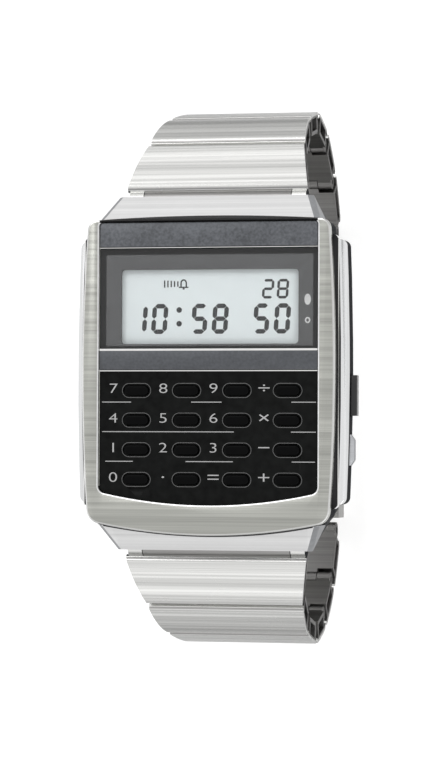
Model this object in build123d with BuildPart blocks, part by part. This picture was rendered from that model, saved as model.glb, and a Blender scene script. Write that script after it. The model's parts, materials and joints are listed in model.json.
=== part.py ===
from build123d import *
import math
import os

os.makedirs("parts", exist_ok=True)

# Case: lengths along Y (12 o'clock is +Y), half widths along X, depths measured down from the face
case_thickness = 8.3
hood_reach = 3.15
lower_hood_reach = 1.9
plate_half_width = 15.9
plate_end_inset = 0.7
plate_thickness = 1.0
plate_strip = 2.14
plate_top_bar = 0.3
plate_top_radius = 1.3
plate_bottom_radius = 1.9
plate_belly = 1.7
bottom_margin = 3.75
body_inset = 0.12
ledge_width = 0.4
ledge_depth = 1.9
shoulder_depth = 5.0
shoulder_overhang = 0.9
back_thickness = 0.8
back_margin = 0.9
back_chamfer = 1.1

# Wings along the case sides
wing_reach = 1.3
wing_bow = 0.35
wing_end_inset = 0.6
wing_centre_y = 0.1
wing_depth = 3.2
wing_thickness = 2.5
wing_corner = 0.9
step_reach = 0.45
step_depth = 1.9
step_overrun = 0.19

# Dial pieces, listed from 12 o'clock down
dial_line = 0.25
upper_band_length = 3.05
display_length = 12.35
lower_band_length = 2.35
keypad_belly = 1.6
keypad_corner = 0.9
band_recess = 0.25
keypad_recess = 0.55
keypad_sheet = 0.9
keypad_rim = 0.6
fit_gap = 0.05
dial_corner = 0.5

# Display
window_recess = 0.3
window_thickness = 0.8
gasket_thickness = 0.1
gasket_width = 0.7
lcd_side_margin = 2.56
lcd_opening_lift = 0.6
lcd_opening_drop = 2.55
lcd_corner = 0.5
lcd_rim = 1.0
lcd_thickness = 1.0
reflector_thickness = 0.1
connector_width = 1.4

# Keys
columns = 4
rows = 4
key_pitch_y = 3.66
first_column_inset = 4.71
last_column_inset = 3.79
first_row_drop = 2.3
last_row_margin = 1.52
key_length = 3.0
key_width = 1.15
key_rise = 0.32
key_edge = 0.16
key_clearance = 0.07
key_recess_margin = 0.3
key_recess_depth = 0.22
key_flange_margin = 0.25
key_flange_thickness = 0.3
key_travel = 0.45
key_gap = 0.05
key_names = (
    ("7", "8", "9", "divide"),
    ("4", "5", "6", "times"),
    ("1", "2", "3", "minus"),
    ("0", "point", "equals", "plus"),
)

# Module inside the case
board_depth = 3.4
board_thickness = 0.6
membrane_sheet = 0.4
module_gap = 0.1
frame_thickness = 3.0
battery_side_wall = 2.01
battery_thickness = 1.6
battery_gap = 0.15
clip_thickness = 0.2
clip_width = 4.0
chip_size = 5.0
chip_thickness = 0.7
crystal_radius = 0.6
crystal_length = 4.5
buzzer_radius = 6.0
buzzer_thickness = 0.25
holder_wall = 0.8
screw_head_radius = 0.8
screw_radius = 0.4
screw_length = 2.2
screw_head_thickness = 0.45
screw_slot_width = 0.3
screw_slot_depth = 0.2
screw_inset = 2.6
seal_width = 0.35
seal_thickness = 0.5
seal_gap = 0.05

# Side pushers, in the right wing
mode_pusher_drop = 2.85
mode_pusher_length = 5.0
mode_pusher_proud = 0.8
adjust_pusher_drop = 9.55
adjust_pusher_length = 3.8
adjust_pusher_proud = 0.45
adjust_slope_share = 0.18
pusher_height = 1.3
pusher_seat = 0.5
pusher_travel = 0.7
pusher_shaft_radius = 0.6
pusher_clearance = 0.08
pusher_stop_radius = 0.95
pusher_stop_thickness = 0.4
ring_section = 0.25
contact_thickness = 0.1
contact_width = 1.6

# Bracelet: slope of each link below the horizontal at rest, in degrees from the case to the clasp
link_slopes = (42, 65, 80, 101, 121, 142)
link_pitch = 8.4
end_link_half_width = 7.7
first_link_taper = 1.55
second_link_taper = 0.85
third_link_taper = 0.5
fourth_link_taper = 0.4
fifth_link_taper = 0.3
sixth_link_taper = 0.2
first_pivot_inset = 0.3
first_pivot_depth = 6.3
clasp_pivot_height = 3.4
link_outer = 1.8
link_inner = 0.8
link_sheet = 0.5
link_gap = 0.14
case_link_gap = 0.3
clasp_link_gap = 1.0
link_edge_radius = 0.3
barrel_radius = 1.1
barrel_clear = 0.25
pin_radius = 0.45
pin_clearance = 0.04
ear_width = 1.8
ear_gap = 0.1
pin_inset = 0.15

# Clasp
cover_side_reach = 0.2
cover_floor = 0.6
cover_wall = 0.7
cover_wall_height = 4.4
cover_end_gap = 0.6
blade_length = 30.0
blade_side_gap = 0.15
blade_thickness = 0.6
blade_barrel_radius = 0.85
blade_pivot_height = 1.25
blade_ear_width = 1.6
cover_edge_radius = 0.35

# Case length, summed along the face from 12 o'clock to 6 o'clock
keypad_side_length = first_row_drop + (rows - 1) * key_pitch_y + last_row_margin
dial_length = upper_band_length + display_length + lower_band_length + keypad_side_length + 3 * dial_line
plate_length = plate_top_bar + dial_length + keypad_belly + bottom_margin
case_half_length = (hood_reach + plate_length + lower_hood_reach) / 2

# Half widths of the links at each pivot, from the case to the clasp
link_tapers = (
    first_link_taper,
    second_link_taper,
    third_link_taper,
    fourth_link_taper,
    fifth_link_taper,
    sixth_link_taper,
)
link_half_widths = [
    end_link_half_width + sum(link_tapers[number:]) for number in range(len(link_slopes) + 1)
]

# Bracelet pivots of the +Y half, from the case to the clasp, heights counted from the clasp's flat face
slopes = [math.radians(s) for s in link_slopes]
chain_drop = link_pitch * sum(math.sin(s) for s in slopes)
face_z = clasp_pivot_height + chain_drop + first_pivot_depth
first_pivot_y = case_half_length - first_pivot_inset
pivots = [(first_pivot_y, face_z - first_pivot_depth)]
for s in slopes:
    y, z = pivots[-1]
    pivots.append((y + link_pitch * math.cos(s), z - link_pitch * math.sin(s)))
clasp_pivot_y = pivots[-1][0]

# Heights
plate_under = face_z - plate_thickness
ledge_z = face_z - ledge_depth
shoulder_z = face_z - shoulder_depth
case_bottom = face_z - case_thickness
back_seat = case_bottom + back_thickness
board_top = face_z - board_depth
board_under = board_top - board_thickness

# Places along the face
plate_top_y = case_half_length - hood_reach
dial_top = plate_top_y - plate_top_bar
upper_band_bottom = dial_top - upper_band_length
display_top = upper_band_bottom - dial_line
display_bottom = display_top - display_length
lower_band_top = display_bottom - dial_line
lower_band_bottom = lower_band_top - lower_band_length
keypad_top = lower_band_bottom - dial_line
keypad_side_bottom = keypad_top - keypad_side_length
keypad_bottom = keypad_side_bottom - keypad_belly
plate_bottom = keypad_bottom - bottom_margin
plate_side_bottom = plate_bottom + plate_belly
dial_half_width = plate_half_width - plate_strip
cavity_half_width = dial_half_width - ledge_width
cavity_top = dial_top - ledge_width
cavity_bottom = keypad_side_bottom + ledge_width
contact_room = pusher_stop_thickness + pusher_travel + contact_thickness + module_gap
module_right = cavity_half_width - fit_gap - contact_room
battery_radius = module_right - battery_side_wall
lcd_half_width = dial_half_width - lcd_side_margin
lcd_opening_length = display_length - lcd_opening_lift - lcd_opening_drop
key_pitch_x = (2 * dial_half_width - first_column_inset - last_column_inset) / (columns - 1)
shoulder_half_length = case_half_length - shoulder_overhang
wing_half_width = plate_half_width + wing_reach
shoulder_corner_y = plate_top_y - plate_strip
step_half_length = shoulder_corner_y + step_overrun
wing_half_length = step_half_length - wing_end_inset


def rectangle_between(x0, y0, x1, y1):
    """Draw a rectangle between two corners in the sketch that is being built."""
    with Locations(((x0 + x1) / 2, (y0 + y1) / 2)):
        Rectangle(abs(x1 - x0), abs(y1 - y0))


# Outlines of the face plate and of the opening for the dial
plate_end_half = plate_half_width - plate_end_inset
plate_middle_y = (plate_top_y + plate_side_bottom) / 2


def plate_shape(grow):
    """Return the face plate's outline grown by a margin: barrel sides, straight top, bellied bottom."""
    half = plate_half_width + grow
    end_half = plate_end_half + grow
    top = plate_top_y + grow
    side_bottom = plate_side_bottom - grow
    with BuildSketch() as shape:
        with BuildLine():
            ThreePointArc((-end_half, top), (-half, plate_middle_y), (-end_half, side_bottom))
            ThreePointArc((-end_half, side_bottom), (0, plate_bottom - grow), (end_half, side_bottom))
            ThreePointArc((end_half, side_bottom), (half, plate_middle_y), (end_half, top))
            Line((end_half, top), (-end_half, top))
        make_face()
        fillet(shape.vertices().group_by(Axis.Y)[-1], plate_top_radius + grow)
        fillet(shape.vertices().group_by(Axis.Y)[0], plate_bottom_radius + grow)
    return shape.sketch


def dial_shape(grow):
    """Return the dial opening's outline grown by a margin: square top, rounded and bellied bottom."""
    half = dial_half_width + grow
    side_bottom = keypad_side_bottom - grow
    with BuildSketch() as shape:
        with BuildLine():
            Polyline(
                (-half, side_bottom),
                (-half, dial_top + grow),
                (half, dial_top + grow),
                (half, side_bottom),
            )
            ThreePointArc((-half, side_bottom), (0, keypad_bottom - grow), (half, side_bottom))
        make_face()
        fillet(shape.vertices().group_by(Axis.Y)[0], keypad_corner + grow)
        fillet(shape.vertices().group_by(Axis.Y)[-1], dial_corner + grow)
    return shape.sketch


plate_face = plate_shape(0)
dial_face = dial_shape(0)
body_face = plate_shape(-body_inset)
seat_face = dial_shape(-fit_gap)
plate_clear_face = plate_shape(fit_gap)

# Places of the lower case block, which reaches out under both hoods
hood_root_half = plate_end_half - plate_top_radius
hood_tip_half = hood_root_half - (case_half_length - plate_top_y) / 2


def shoulder_shape(inset):
    """Return the lower case block's outline, a rectangle with slanted corners, drawn in by an inset."""
    tip = shoulder_half_length - inset
    side = plate_end_half - inset
    with BuildSketch() as shape:
        with BuildLine():
            Polyline(
                (hood_tip_half, -tip),
                (-hood_tip_half, -tip),
                (-side, -shoulder_corner_y),
                (-side, shoulder_corner_y),
                (-hood_tip_half, tip),
                (hood_tip_half, tip),
                (side, shoulder_corner_y),
                (side, -shoulder_corner_y),
                (hood_tip_half, -tip),
            )
        make_face()
        fillet(shape.vertices(), wing_corner)
    return shape.sketch


shoulder_face = shoulder_shape(0)
back_face = shoulder_shape(back_margin)


def side_bar(half_width, half_length):
    """Return a bar's outline that is bowed along both sides of the case, with rounded corners."""
    low = wing_centre_y - half_length
    high = wing_centre_y + half_length
    with BuildSketch() as bar:
        with BuildLine():
            ThreePointArc(
                (-half_width + wing_bow, high),
                (-half_width, wing_centre_y),
                (-half_width + wing_bow, low),
            )
            Line((-half_width + wing_bow, low), (half_width - wing_bow, low))
            ThreePointArc(
                (half_width - wing_bow, low),
                (half_width, wing_centre_y),
                (half_width - wing_bow, high),
            )
            Line((half_width - wing_bow, high), (-half_width + wing_bow, high))
        make_face()
        fillet(bar.vertices(), wing_corner)
    return bar.sketch


wing_face = side_bar(wing_half_width, wing_half_length)
step_face = side_bar(plate_half_width + step_reach, step_half_length)

# Pivot ears and barrels share these places along X
case_barrel_half = link_half_widths[0] - ear_width - ear_gap - barrel_clear
wing_top = face_z - wing_depth
pusher_z = wing_top - wing_thickness / 2
pusher_pocket_x = wing_half_width - pusher_seat - pusher_travel - pusher_clearance
pushers = (
    ("mode", keypad_top - mode_pusher_drop, mode_pusher_length, mode_pusher_proud),
    ("adjust", keypad_top - adjust_pusher_drop, adjust_pusher_length, adjust_pusher_proud),
)
screw_x = hood_tip_half - screw_inset
screw_y = shoulder_half_length - back_margin - back_thickness / 3 - screw_head_radius
screw_spots = [(x, y) for x in (-screw_x, screw_x) for y in (-screw_y, screw_y)]

# Middle case: ring around the module, shoulders, wings and bracelet ears
with BuildPart() as mid_case:
    with BuildSketch(Plane.XY.offset(shoulder_z)):
        add(body_face)
    extrude(amount=shoulder_depth - plate_thickness)
    with BuildSketch(Plane.XY.offset(back_seat)):
        add(shoulder_face)
    extrude(amount=shoulder_z - back_seat)
    chamfer(mid_case.edges().group_by(Axis.Z)[0], back_chamfer / 2)
    with BuildSketch(Plane.XY.offset(wing_top)):
        add(step_face)
    extrude(amount=wing_depth - step_depth)
    with BuildSketch(Plane.XY.offset(wing_top)):
        add(wing_face)
    extrude(amount=-wing_thickness)
    for end in (-1, 1):
        for side in (-1, 1):
            with BuildSketch(Plane.YZ.offset(side * (case_barrel_half + ear_gap))):
                with Locations((end * first_pivot_y, pivots[0][1])):
                    Circle(barrel_radius)
                rectangle_between(
                    end * (shoulder_half_length - link_outer),
                    pivots[0][1] - barrel_radius,
                    end * first_pivot_y,
                    pivots[0][1] + barrel_radius,
                )
            extrude(amount=side * ear_width)
    with BuildSketch(Plane.YZ):
        for end in (-1, 1):
            with Locations((end * first_pivot_y, pivots[0][1])):
                Circle(barrel_radius + barrel_clear)
    extrude(amount=case_barrel_half + ear_gap, both=True, mode=Mode.SUBTRACT)
    with BuildSketch(Plane.XY.offset(ledge_z)):
        add(dial_face)
    extrude(amount=ledge_depth, mode=Mode.SUBTRACT)
    with BuildSketch(Plane.XY.offset(back_seat)):
        rectangle_between(-cavity_half_width, cavity_bottom, cavity_half_width, cavity_top)
    extrude(amount=ledge_z - back_seat, mode=Mode.SUBTRACT)
    with BuildSketch(Plane.YZ):
        with Locations((-first_pivot_y, pivots[0][1]), (first_pivot_y, pivots[0][1])):
            Circle(pin_radius + pin_clearance)
    extrude(amount=plate_half_width, both=True, mode=Mode.SUBTRACT)
    for label, pusher_y, length, proud in pushers:
        with BuildSketch(Plane.YZ.offset(pusher_pocket_x)):
            with Locations((pusher_y, pusher_z)):
                Rectangle(length + 2 * pusher_clearance, pusher_height + 2 * pusher_clearance)
        extrude(amount=wing_reach + pusher_seat + pusher_travel, mode=Mode.SUBTRACT)
        with BuildSketch(Plane.YZ.offset(cavity_half_width)):
            with Locations((pusher_y, pusher_z)):
                Circle(pusher_shaft_radius + pusher_clearance)
        extrude(amount=wing_half_width - cavity_half_width, mode=Mode.SUBTRACT)
        with BuildSketch(Plane.YZ.offset(pusher_pocket_x)):
            with Locations((pusher_y, pusher_z)):
                Circle(pusher_shaft_radius + pusher_clearance + 2 * ring_section)
        extrude(amount=-2 * ring_section - 2 * pusher_clearance, mode=Mode.SUBTRACT)
    with BuildSketch(Plane.XY.offset(back_seat)):
        with Locations(*screw_spots):
            Circle(screw_radius + pin_clearance)
    extrude(amount=screw_length, mode=Mode.SUBTRACT)
    with BuildSketch(Plane.XY.offset(back_seat)):
        rectangle_between(
            -cavity_half_width - seal_width - seal_gap,
            cavity_bottom - seal_width - seal_gap,
            cavity_half_width + seal_width + seal_gap,
            cavity_top + seal_width + seal_gap,
        )
        rectangle_between(-cavity_half_width, cavity_bottom, cavity_half_width, cavity_top)
    extrude(amount=seal_thickness, mode=Mode.SUBTRACT)
mid_case.part.label = "mid_case"
export_step(mid_case.part, "parts/mid_case.step")

# Face plate: brushed ring around the dial
with BuildPart() as face_plate:
    with BuildSketch(Plane.XY.offset(plate_under)):
        add(plate_face)
        add(dial_face, mode=Mode.SUBTRACT)
    extrude(amount=plate_thickness)
face_plate.part.label = "face_plate"
export_step(face_plate.part, "parts/face_plate.step")

# Hoods: sloped end pieces between the face plate and the bracelet
hood_top = face_z - band_recess
hood_tip_z = shoulder_z + shoulder_overhang
hoods = (("upper_hood", 1), ("lower_hood", -1))
for name, end in hoods:
    with BuildPart() as hood:
        with BuildSketch(Plane.XY.offset(shoulder_z)):
            with BuildLine():
                Polyline(
                    (-hood_root_half, end * shoulder_corner_y),
                    (-hood_root_half, end * plate_top_y),
                    (-hood_tip_half, end * case_half_length),
                    (hood_tip_half, end * case_half_length),
                    (hood_root_half, end * plate_top_y),
                    (hood_root_half, end * shoulder_corner_y),
                    (-hood_root_half, end * shoulder_corner_y),
                )
            make_face()
            add(plate_clear_face, mode=Mode.SUBTRACT)
        extrude(amount=shoulder_depth)
        with BuildSketch(Plane.YZ):
            with BuildLine():
                Polyline(
                    (end * shoulder_corner_y, shoulder_z),
                    (end * shoulder_corner_y, hood_top),
                    (end * plate_top_y, hood_top),
                    (end * case_half_length, hood_tip_z),
                    (end * case_half_length, shoulder_z),
                    (end * shoulder_corner_y, shoulder_z),
                )
            make_face()
        extrude(amount=plate_half_width, both=True, mode=Mode.INTERSECT)
    hood.part.label = name
    export_step(hood.part, f"parts/{name}.step")


def dial_bar(low, high, top_recess, depth):
    """Make a flat bar across the dial opening, between two heights along the face."""
    with BuildPart() as bar:
        with BuildSketch(Plane.XY.offset(face_z - depth)):
            add(seat_face)
            with BuildSketch(mode=Mode.INTERSECT):
                rectangle_between(-plate_half_width, low, plate_half_width, high)
        extrude(amount=depth - top_recess)
    return bar


upper_band = dial_bar(upper_band_bottom, dial_top, band_recess, ledge_depth)
upper_band.part.label = "upper_band"
export_step(upper_band.part, "parts/upper_band.step")
lower_band = dial_bar(lower_band_bottom, lower_band_top, band_recess, ledge_depth)
lower_band.part.label = "lower_band"
export_step(lower_band.part, "parts/lower_band.step")

# Display: clear window on a gasket over a dark surround with the glass cell beneath
window_under = window_recess + window_thickness
display_window = dial_bar(display_bottom, display_top, window_recess, window_under)
display_window.part.label = "display_window"
export_step(display_window.part, "parts/display_window.step")

with BuildPart() as window_gasket:
    with BuildSketch(Plane.XY.offset(face_z - window_under - gasket_thickness)):
        add(seat_face)
        with BuildSketch(mode=Mode.INTERSECT):
            rectangle_between(-plate_half_width, display_bottom, plate_half_width, display_top)
        with BuildSketch(mode=Mode.SUBTRACT):
            rectangle_between(
                -dial_half_width + gasket_width,
                display_bottom + gasket_width / 2,
                dial_half_width - gasket_width,
                display_top - gasket_width,
            )
    extrude(amount=gasket_thickness)
window_gasket.part.label = "window_gasket"
export_step(window_gasket.part, "parts/window_gasket.step")

surround_top = window_under + gasket_thickness
lcd_low = display_bottom + lcd_opening_lift
lcd_high = lcd_low + lcd_opening_length
with BuildPart() as display_surround:
    with BuildSketch(Plane.XY.offset(ledge_z)):
        add(seat_face)
        with BuildSketch(mode=Mode.INTERSECT):
            rectangle_between(-plate_half_width, display_bottom, plate_half_width, display_top)
        with BuildSketch(mode=Mode.SUBTRACT) as lcd_opening:
            rectangle_between(-lcd_half_width, lcd_low, lcd_half_width, lcd_high)
            fillet(lcd_opening.vertices(), lcd_corner)
    extrude(amount=ledge_depth - surround_top)
display_surround.part.label = "display_surround"
export_step(display_surround.part, "parts/display_surround.step")

lcd_top = ledge_z - fit_gap
lcd_under = lcd_top - lcd_thickness
lcd_back_low = lcd_low - lcd_rim
lcd_back_high = lcd_high + lcd_rim
lcd_back_half = lcd_half_width + lcd_rim
with BuildPart() as lcd_panel:
    with BuildSketch(Plane.XY.offset(lcd_under)):
        rectangle_between(-lcd_back_half, lcd_back_low, lcd_back_half, lcd_back_high)
    extrude(amount=lcd_thickness)
lcd_panel.part.label = "lcd_panel"
export_step(lcd_panel.part, "parts/lcd_panel.step")

with BuildPart() as lcd_reflector:
    with BuildSketch(Plane.XY.offset(lcd_under - reflector_thickness)):
        rectangle_between(
            -lcd_back_half + lcd_rim,
            lcd_back_low + connector_width + module_gap,
            lcd_back_half - lcd_rim,
            lcd_back_high - connector_width - module_gap,
        )
    extrude(amount=reflector_thickness)
lcd_reflector.part.label = "lcd_reflector"
export_step(lcd_reflector.part, "parts/lcd_reflector.step")

# Rubber strips that carry the display signals up from the circuit board
with BuildPart() as connector_strips:
    with BuildSketch(Plane.XY.offset(board_top)):
        for low in (lcd_back_low, lcd_back_high - connector_width):
            rectangle_between(-lcd_back_half + lcd_rim, low, lcd_back_half - lcd_rim, low + connector_width)
    extrude(amount=lcd_under - board_top)
connector_strips.part.label = "connector_strips"
export_step(connector_strips.part, "parts/connector_strips.step")

# Plastic holder around the display cell, standing on the board
holder_top = lcd_top - fit_gap
with BuildPart() as display_holder:
    with BuildSketch(Plane.XY.offset(board_top)):
        rectangle_between(
            -lcd_back_half - holder_wall,
            lcd_back_low - holder_wall,
            lcd_back_half + holder_wall,
            lcd_back_high + holder_wall,
        )
        with BuildSketch(mode=Mode.SUBTRACT):
            rectangle_between(
                -lcd_back_half - fit_gap,
                lcd_back_low - fit_gap,
                lcd_back_half + fit_gap,
                lcd_back_high + fit_gap,
            )
    extrude(amount=holder_top - board_top)
display_holder.part.label = "display_holder"
export_step(display_holder.part, "parts/display_holder.step")

# Keypad: plate with a pill-shaped hole and a shallow recess for each key
first_column_x = -dial_half_width + first_column_inset
first_row_y = keypad_top - first_row_drop
key_spots = [
    (first_column_x + column * key_pitch_x, first_row_y - row * key_pitch_y, key_names[row][column])
    for row in range(rows)
    for column in range(columns)
]
spots = [(x, y) for x, y, label in key_spots]
keypad_z = face_z - keypad_recess
with BuildPart() as keypad_plate:
    with BuildSketch(Plane.XY.offset(ledge_z)):
        add(seat_face)
        with BuildSketch(mode=Mode.INTERSECT):
            rectangle_between(-plate_half_width, plate_bottom, plate_half_width, keypad_top)
    extrude(amount=ledge_depth - keypad_recess)
    with BuildSketch(Plane.XY.offset(ledge_z)):
        rectangle_between(
            -dial_half_width + keypad_rim,
            keypad_side_bottom + keypad_rim,
            dial_half_width - keypad_rim,
            keypad_top - keypad_rim,
        )
    extrude(amount=ledge_depth - keypad_recess - keypad_sheet, mode=Mode.SUBTRACT)
    with BuildSketch(Plane.XY.offset(keypad_z)):
        with Locations(*spots):
            SlotOverall(key_length + 2 * key_recess_margin, key_width + 2 * key_recess_margin)
    extrude(amount=-key_recess_depth, mode=Mode.SUBTRACT)
    with BuildSketch(Plane.XY.offset(keypad_z)):
        with Locations(*spots):
            SlotOverall(key_length + 2 * key_clearance, key_width + 2 * key_clearance)
    extrude(amount=-keypad_sheet, mode=Mode.SUBTRACT)
keypad_plate.part.label = "keypad_plate"
export_step(keypad_plate.part, "parts/keypad_plate.step")

# Keys: pill cap on a wider foot that the plate holds down
flange_top = keypad_z - keypad_sheet - fit_gap
flange_under = flange_top - key_flange_thickness
key_top = keypad_z + key_rise - key_recess_depth / 2
for x, y, label in key_spots:
    with BuildPart() as key:
        with BuildSketch(Plane.XY.offset(flange_under)):
            with Locations((x, y)):
                SlotOverall(key_length + 2 * key_flange_margin, key_width + 2 * key_flange_margin)
        extrude(amount=key_flange_thickness)
        with BuildSketch(Plane.XY.offset(flange_top)):
            with Locations((x, y)):
                SlotOverall(key_length, key_width)
        extrude(amount=key_top - flange_top)
        fillet(key.faces().sort_by(Axis.Z)[-1].edges(), key_edge)
    key.part.label = f"key_{label}"
    export_step(key.part, f"parts/key_{label}.step")

# Rubber membrane: a sheet on the board with a dome under each key
dome_top = flange_under - key_travel - key_gap
membrane_top_y = lcd_back_low - holder_wall - module_gap
with BuildPart() as key_membrane:
    with BuildSketch(Plane.XY.offset(board_top)):
        rectangle_between(
            -cavity_half_width + module_gap,
            cavity_bottom + module_gap,
            cavity_half_width - module_gap,
            membrane_top_y,
        )
    extrude(amount=membrane_sheet)
    with BuildSketch(Plane.XY.offset(board_top)):
        with Locations(*spots):
            SlotOverall(key_length, key_width)
    extrude(amount=dome_top - board_top)
key_membrane.part.label = "key_membrane"
export_step(key_membrane.part, "parts/key_membrane.step")

# Circuit board, with the chip and the quartz can beneath it
with BuildPart() as circuit_board:
    with BuildSketch(Plane.XY.offset(board_under)):
        rectangle_between(
            -cavity_half_width + module_gap,
            cavity_bottom + module_gap,
            module_right,
            cavity_top - module_gap,
        )
    extrude(amount=board_thickness)
circuit_board.part.label = "circuit_board"
export_step(circuit_board.part, "parts/circuit_board.step")

chip_y = cavity_top - chip_size
crystal_x = -chip_size
with BuildPart() as chip_and_quartz:
    with BuildSketch(Plane.XY.offset(board_under - chip_thickness)):
        with Locations((chip_size, chip_y)):
            Rectangle(chip_size, chip_size)
    extrude(amount=chip_thickness)
    with BuildSketch(Plane.YZ.offset(crystal_x - crystal_length / 2)):
        with Locations((chip_y, board_under - crystal_radius)):
            Circle(crystal_radius)
    extrude(amount=crystal_length)
chip_and_quartz.part.label = "chip_and_quartz"
export_step(chip_and_quartz.part, "parts/chip_and_quartz.step")

# Module frame: plastic carrier with the battery well, open to the back
frame_under = board_under - frame_thickness
battery_y = cavity_bottom + module_gap + battery_radius + holder_wall
pocket_depth = chip_thickness + crystal_radius
with BuildPart() as module_frame:
    with BuildSketch(Plane.XY.offset(frame_under)):
        rectangle_between(
            -cavity_half_width + module_gap,
            cavity_bottom + module_gap,
            module_right,
            cavity_top - module_gap,
        )
    extrude(amount=frame_thickness)
    with BuildSketch(Plane.XY.offset(frame_under)):
        with Locations((0, battery_y)):
            Circle(battery_radius + battery_gap)
    extrude(amount=battery_thickness + battery_gap, mode=Mode.SUBTRACT)
    with BuildSketch(Plane.XY.offset(board_under)):
        rectangle_between(
            crystal_x - crystal_length,
            chip_y - chip_size / 2 - module_gap,
            chip_size * 2,
            chip_y + chip_size / 2 + module_gap,
        )
    extrude(amount=-pocket_depth, mode=Mode.SUBTRACT)
module_frame.part.label = "module_frame"
export_step(module_frame.part, "parts/module_frame.step")

with BuildPart() as battery:
    with BuildSketch(Plane.XY.offset(frame_under)):
        with Locations((0, battery_y)):
            Circle(battery_radius)
    extrude(amount=battery_thickness)
    chamfer(battery.edges().group_by(Axis.Z)[-1], battery_gap)
battery.part.label = "battery"
export_step(battery.part, "parts/battery.step")

with BuildPart() as battery_clip:
    with BuildSketch(Plane.XY.offset(frame_under - clip_thickness)):
        with Locations((0, battery_y)):
            Rectangle(clip_width, 2 * battery_radius + 2 * holder_wall)
    extrude(amount=clip_thickness)
battery_clip.part.label = "battery_clip"
export_step(battery_clip.part, "parts/battery_clip.step")

# Case back with its gasket, screws and the buzzer on its inner face
with BuildPart() as case_back:
    with BuildSketch(Plane.XY.offset(case_bottom)):
        add(back_face)
    extrude(amount=back_thickness)
    chamfer(case_back.edges().group_by(Axis.Z)[0], back_thickness / 3)
    with BuildSketch(Plane.XY.offset(case_bottom)):
        with Locations(*screw_spots):
            Circle(screw_head_radius + fit_gap)
    extrude(amount=screw_head_thickness, mode=Mode.SUBTRACT)
    with BuildSketch(Plane.XY.offset(case_bottom)):
        with Locations(*screw_spots):
            Circle(screw_radius + pin_clearance)
    extrude(amount=back_thickness, mode=Mode.SUBTRACT)
case_back.part.label = "case_back"
export_step(case_back.part, "parts/case_back.step")

with BuildPart() as case_back_gasket:
    with BuildSketch(Plane.XY.offset(back_seat)):
        rectangle_between(
            -cavity_half_width - seal_width,
            cavity_bottom - seal_width,
            cavity_half_width + seal_width,
            cavity_top + seal_width,
        )
        with BuildSketch(mode=Mode.SUBTRACT):
            rectangle_between(
                -cavity_half_width - seal_gap,
                cavity_bottom - seal_gap,
                cavity_half_width + seal_gap,
                cavity_top + seal_gap,
            )
    extrude(amount=seal_thickness - seal_gap)
case_back_gasket.part.label = "case_back_gasket"
export_step(case_back_gasket.part, "parts/case_back_gasket.step")

with BuildPart() as case_back_screws:
    with BuildSketch(Plane.XY.offset(case_bottom)):
        with Locations(*screw_spots):
            Circle(screw_head_radius)
    extrude(amount=screw_head_thickness)
    with BuildSketch(Plane.XY.offset(case_bottom)):
        with Locations(*screw_spots):
            Circle(screw_radius)
    extrude(amount=screw_length)
    with BuildSketch(Plane.XY.offset(case_bottom)):
        with Locations(*screw_spots):
            Rectangle(2 * screw_head_radius, screw_slot_width)
            Rectangle(screw_slot_width, 2 * screw_head_radius)
    extrude(amount=screw_slot_depth, mode=Mode.SUBTRACT)
case_back_screws.part.label = "case_back_screws"
export_step(case_back_screws.part, "parts/case_back_screws.step")

with BuildPart() as buzzer_disc:
    with BuildSketch(Plane.XY.offset(back_seat)):
        with Locations((0, battery_y)):
            Circle(buzzer_radius)
    extrude(amount=buzzer_thickness)
buzzer_disc.part.label = "buzzer_disc"
export_step(buzzer_disc.part, "parts/buzzer_disc.step")

# Side pushers: head in the wing pocket, shaft through the case wall, stop disc inside
stop_face_x = cavity_half_width - fit_gap
for label, pusher_y, length, proud in pushers:
    head_x = wing_half_width - pusher_seat
    tip_x = wing_half_width + proud
    slope = length * adjust_slope_share if label == "adjust" else 0
    with BuildPart() as pusher:
        with BuildSketch(Plane.XY.offset(pusher_z - pusher_height / 2)):
            with BuildLine():
                Polyline(
                    (head_x, pusher_y - length / 2),
                    (wing_half_width, pusher_y - length / 2),
                    (tip_x, pusher_y - length / 2 + slope),
                    (tip_x, pusher_y + length / 2 - slope),
                    (wing_half_width, pusher_y + length / 2),
                    (head_x, pusher_y + length / 2),
                    (head_x, pusher_y - length / 2),
                )
            make_face()
        extrude(amount=pusher_height)
        with BuildSketch(Plane.YZ.offset(stop_face_x)):
            with Locations((pusher_y, pusher_z)):
                Circle(pusher_shaft_radius)
        extrude(amount=head_x - stop_face_x)
        with BuildSketch(Plane.YZ.offset(stop_face_x)):
            with Locations((pusher_y, pusher_z)):
                Circle(pusher_stop_radius)
        extrude(amount=-pusher_stop_thickness)
    pusher.part.label = f"{label}_pusher"
    export_step(pusher.part, f"parts/{label}_pusher.step")

# Rubber rings that seal the pusher shafts
with BuildPart() as pusher_seals:
    for label, pusher_y, length, proud in pushers:
        with BuildSketch(Plane.YZ.offset(pusher_pocket_x - 2 * ring_section - pusher_clearance)):
            with Locations((pusher_y, pusher_z)):
                Circle(pusher_shaft_radius + pusher_clearance / 2 + 2 * ring_section)
                Circle(pusher_shaft_radius + pusher_clearance / 2, mode=Mode.SUBTRACT)
        extrude(amount=2 * ring_section)
pusher_seals.part.label = "pusher_seals"
export_step(pusher_seals.part, "parts/pusher_seals.step")

# Leaf contacts that the pushers press, standing on the side of the module frame
with BuildPart() as side_contacts:
    for label, pusher_y, length, proud in pushers:
        with BuildSketch(Plane.YZ.offset(module_right)):
            with Locations((pusher_y, pusher_z)):
                Rectangle(contact_width, contact_width)
        extrude(amount=contact_thickness)
side_contacts.part.label = "side_contacts"
export_step(side_contacts.part, "parts/side_contacts.step")

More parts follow.
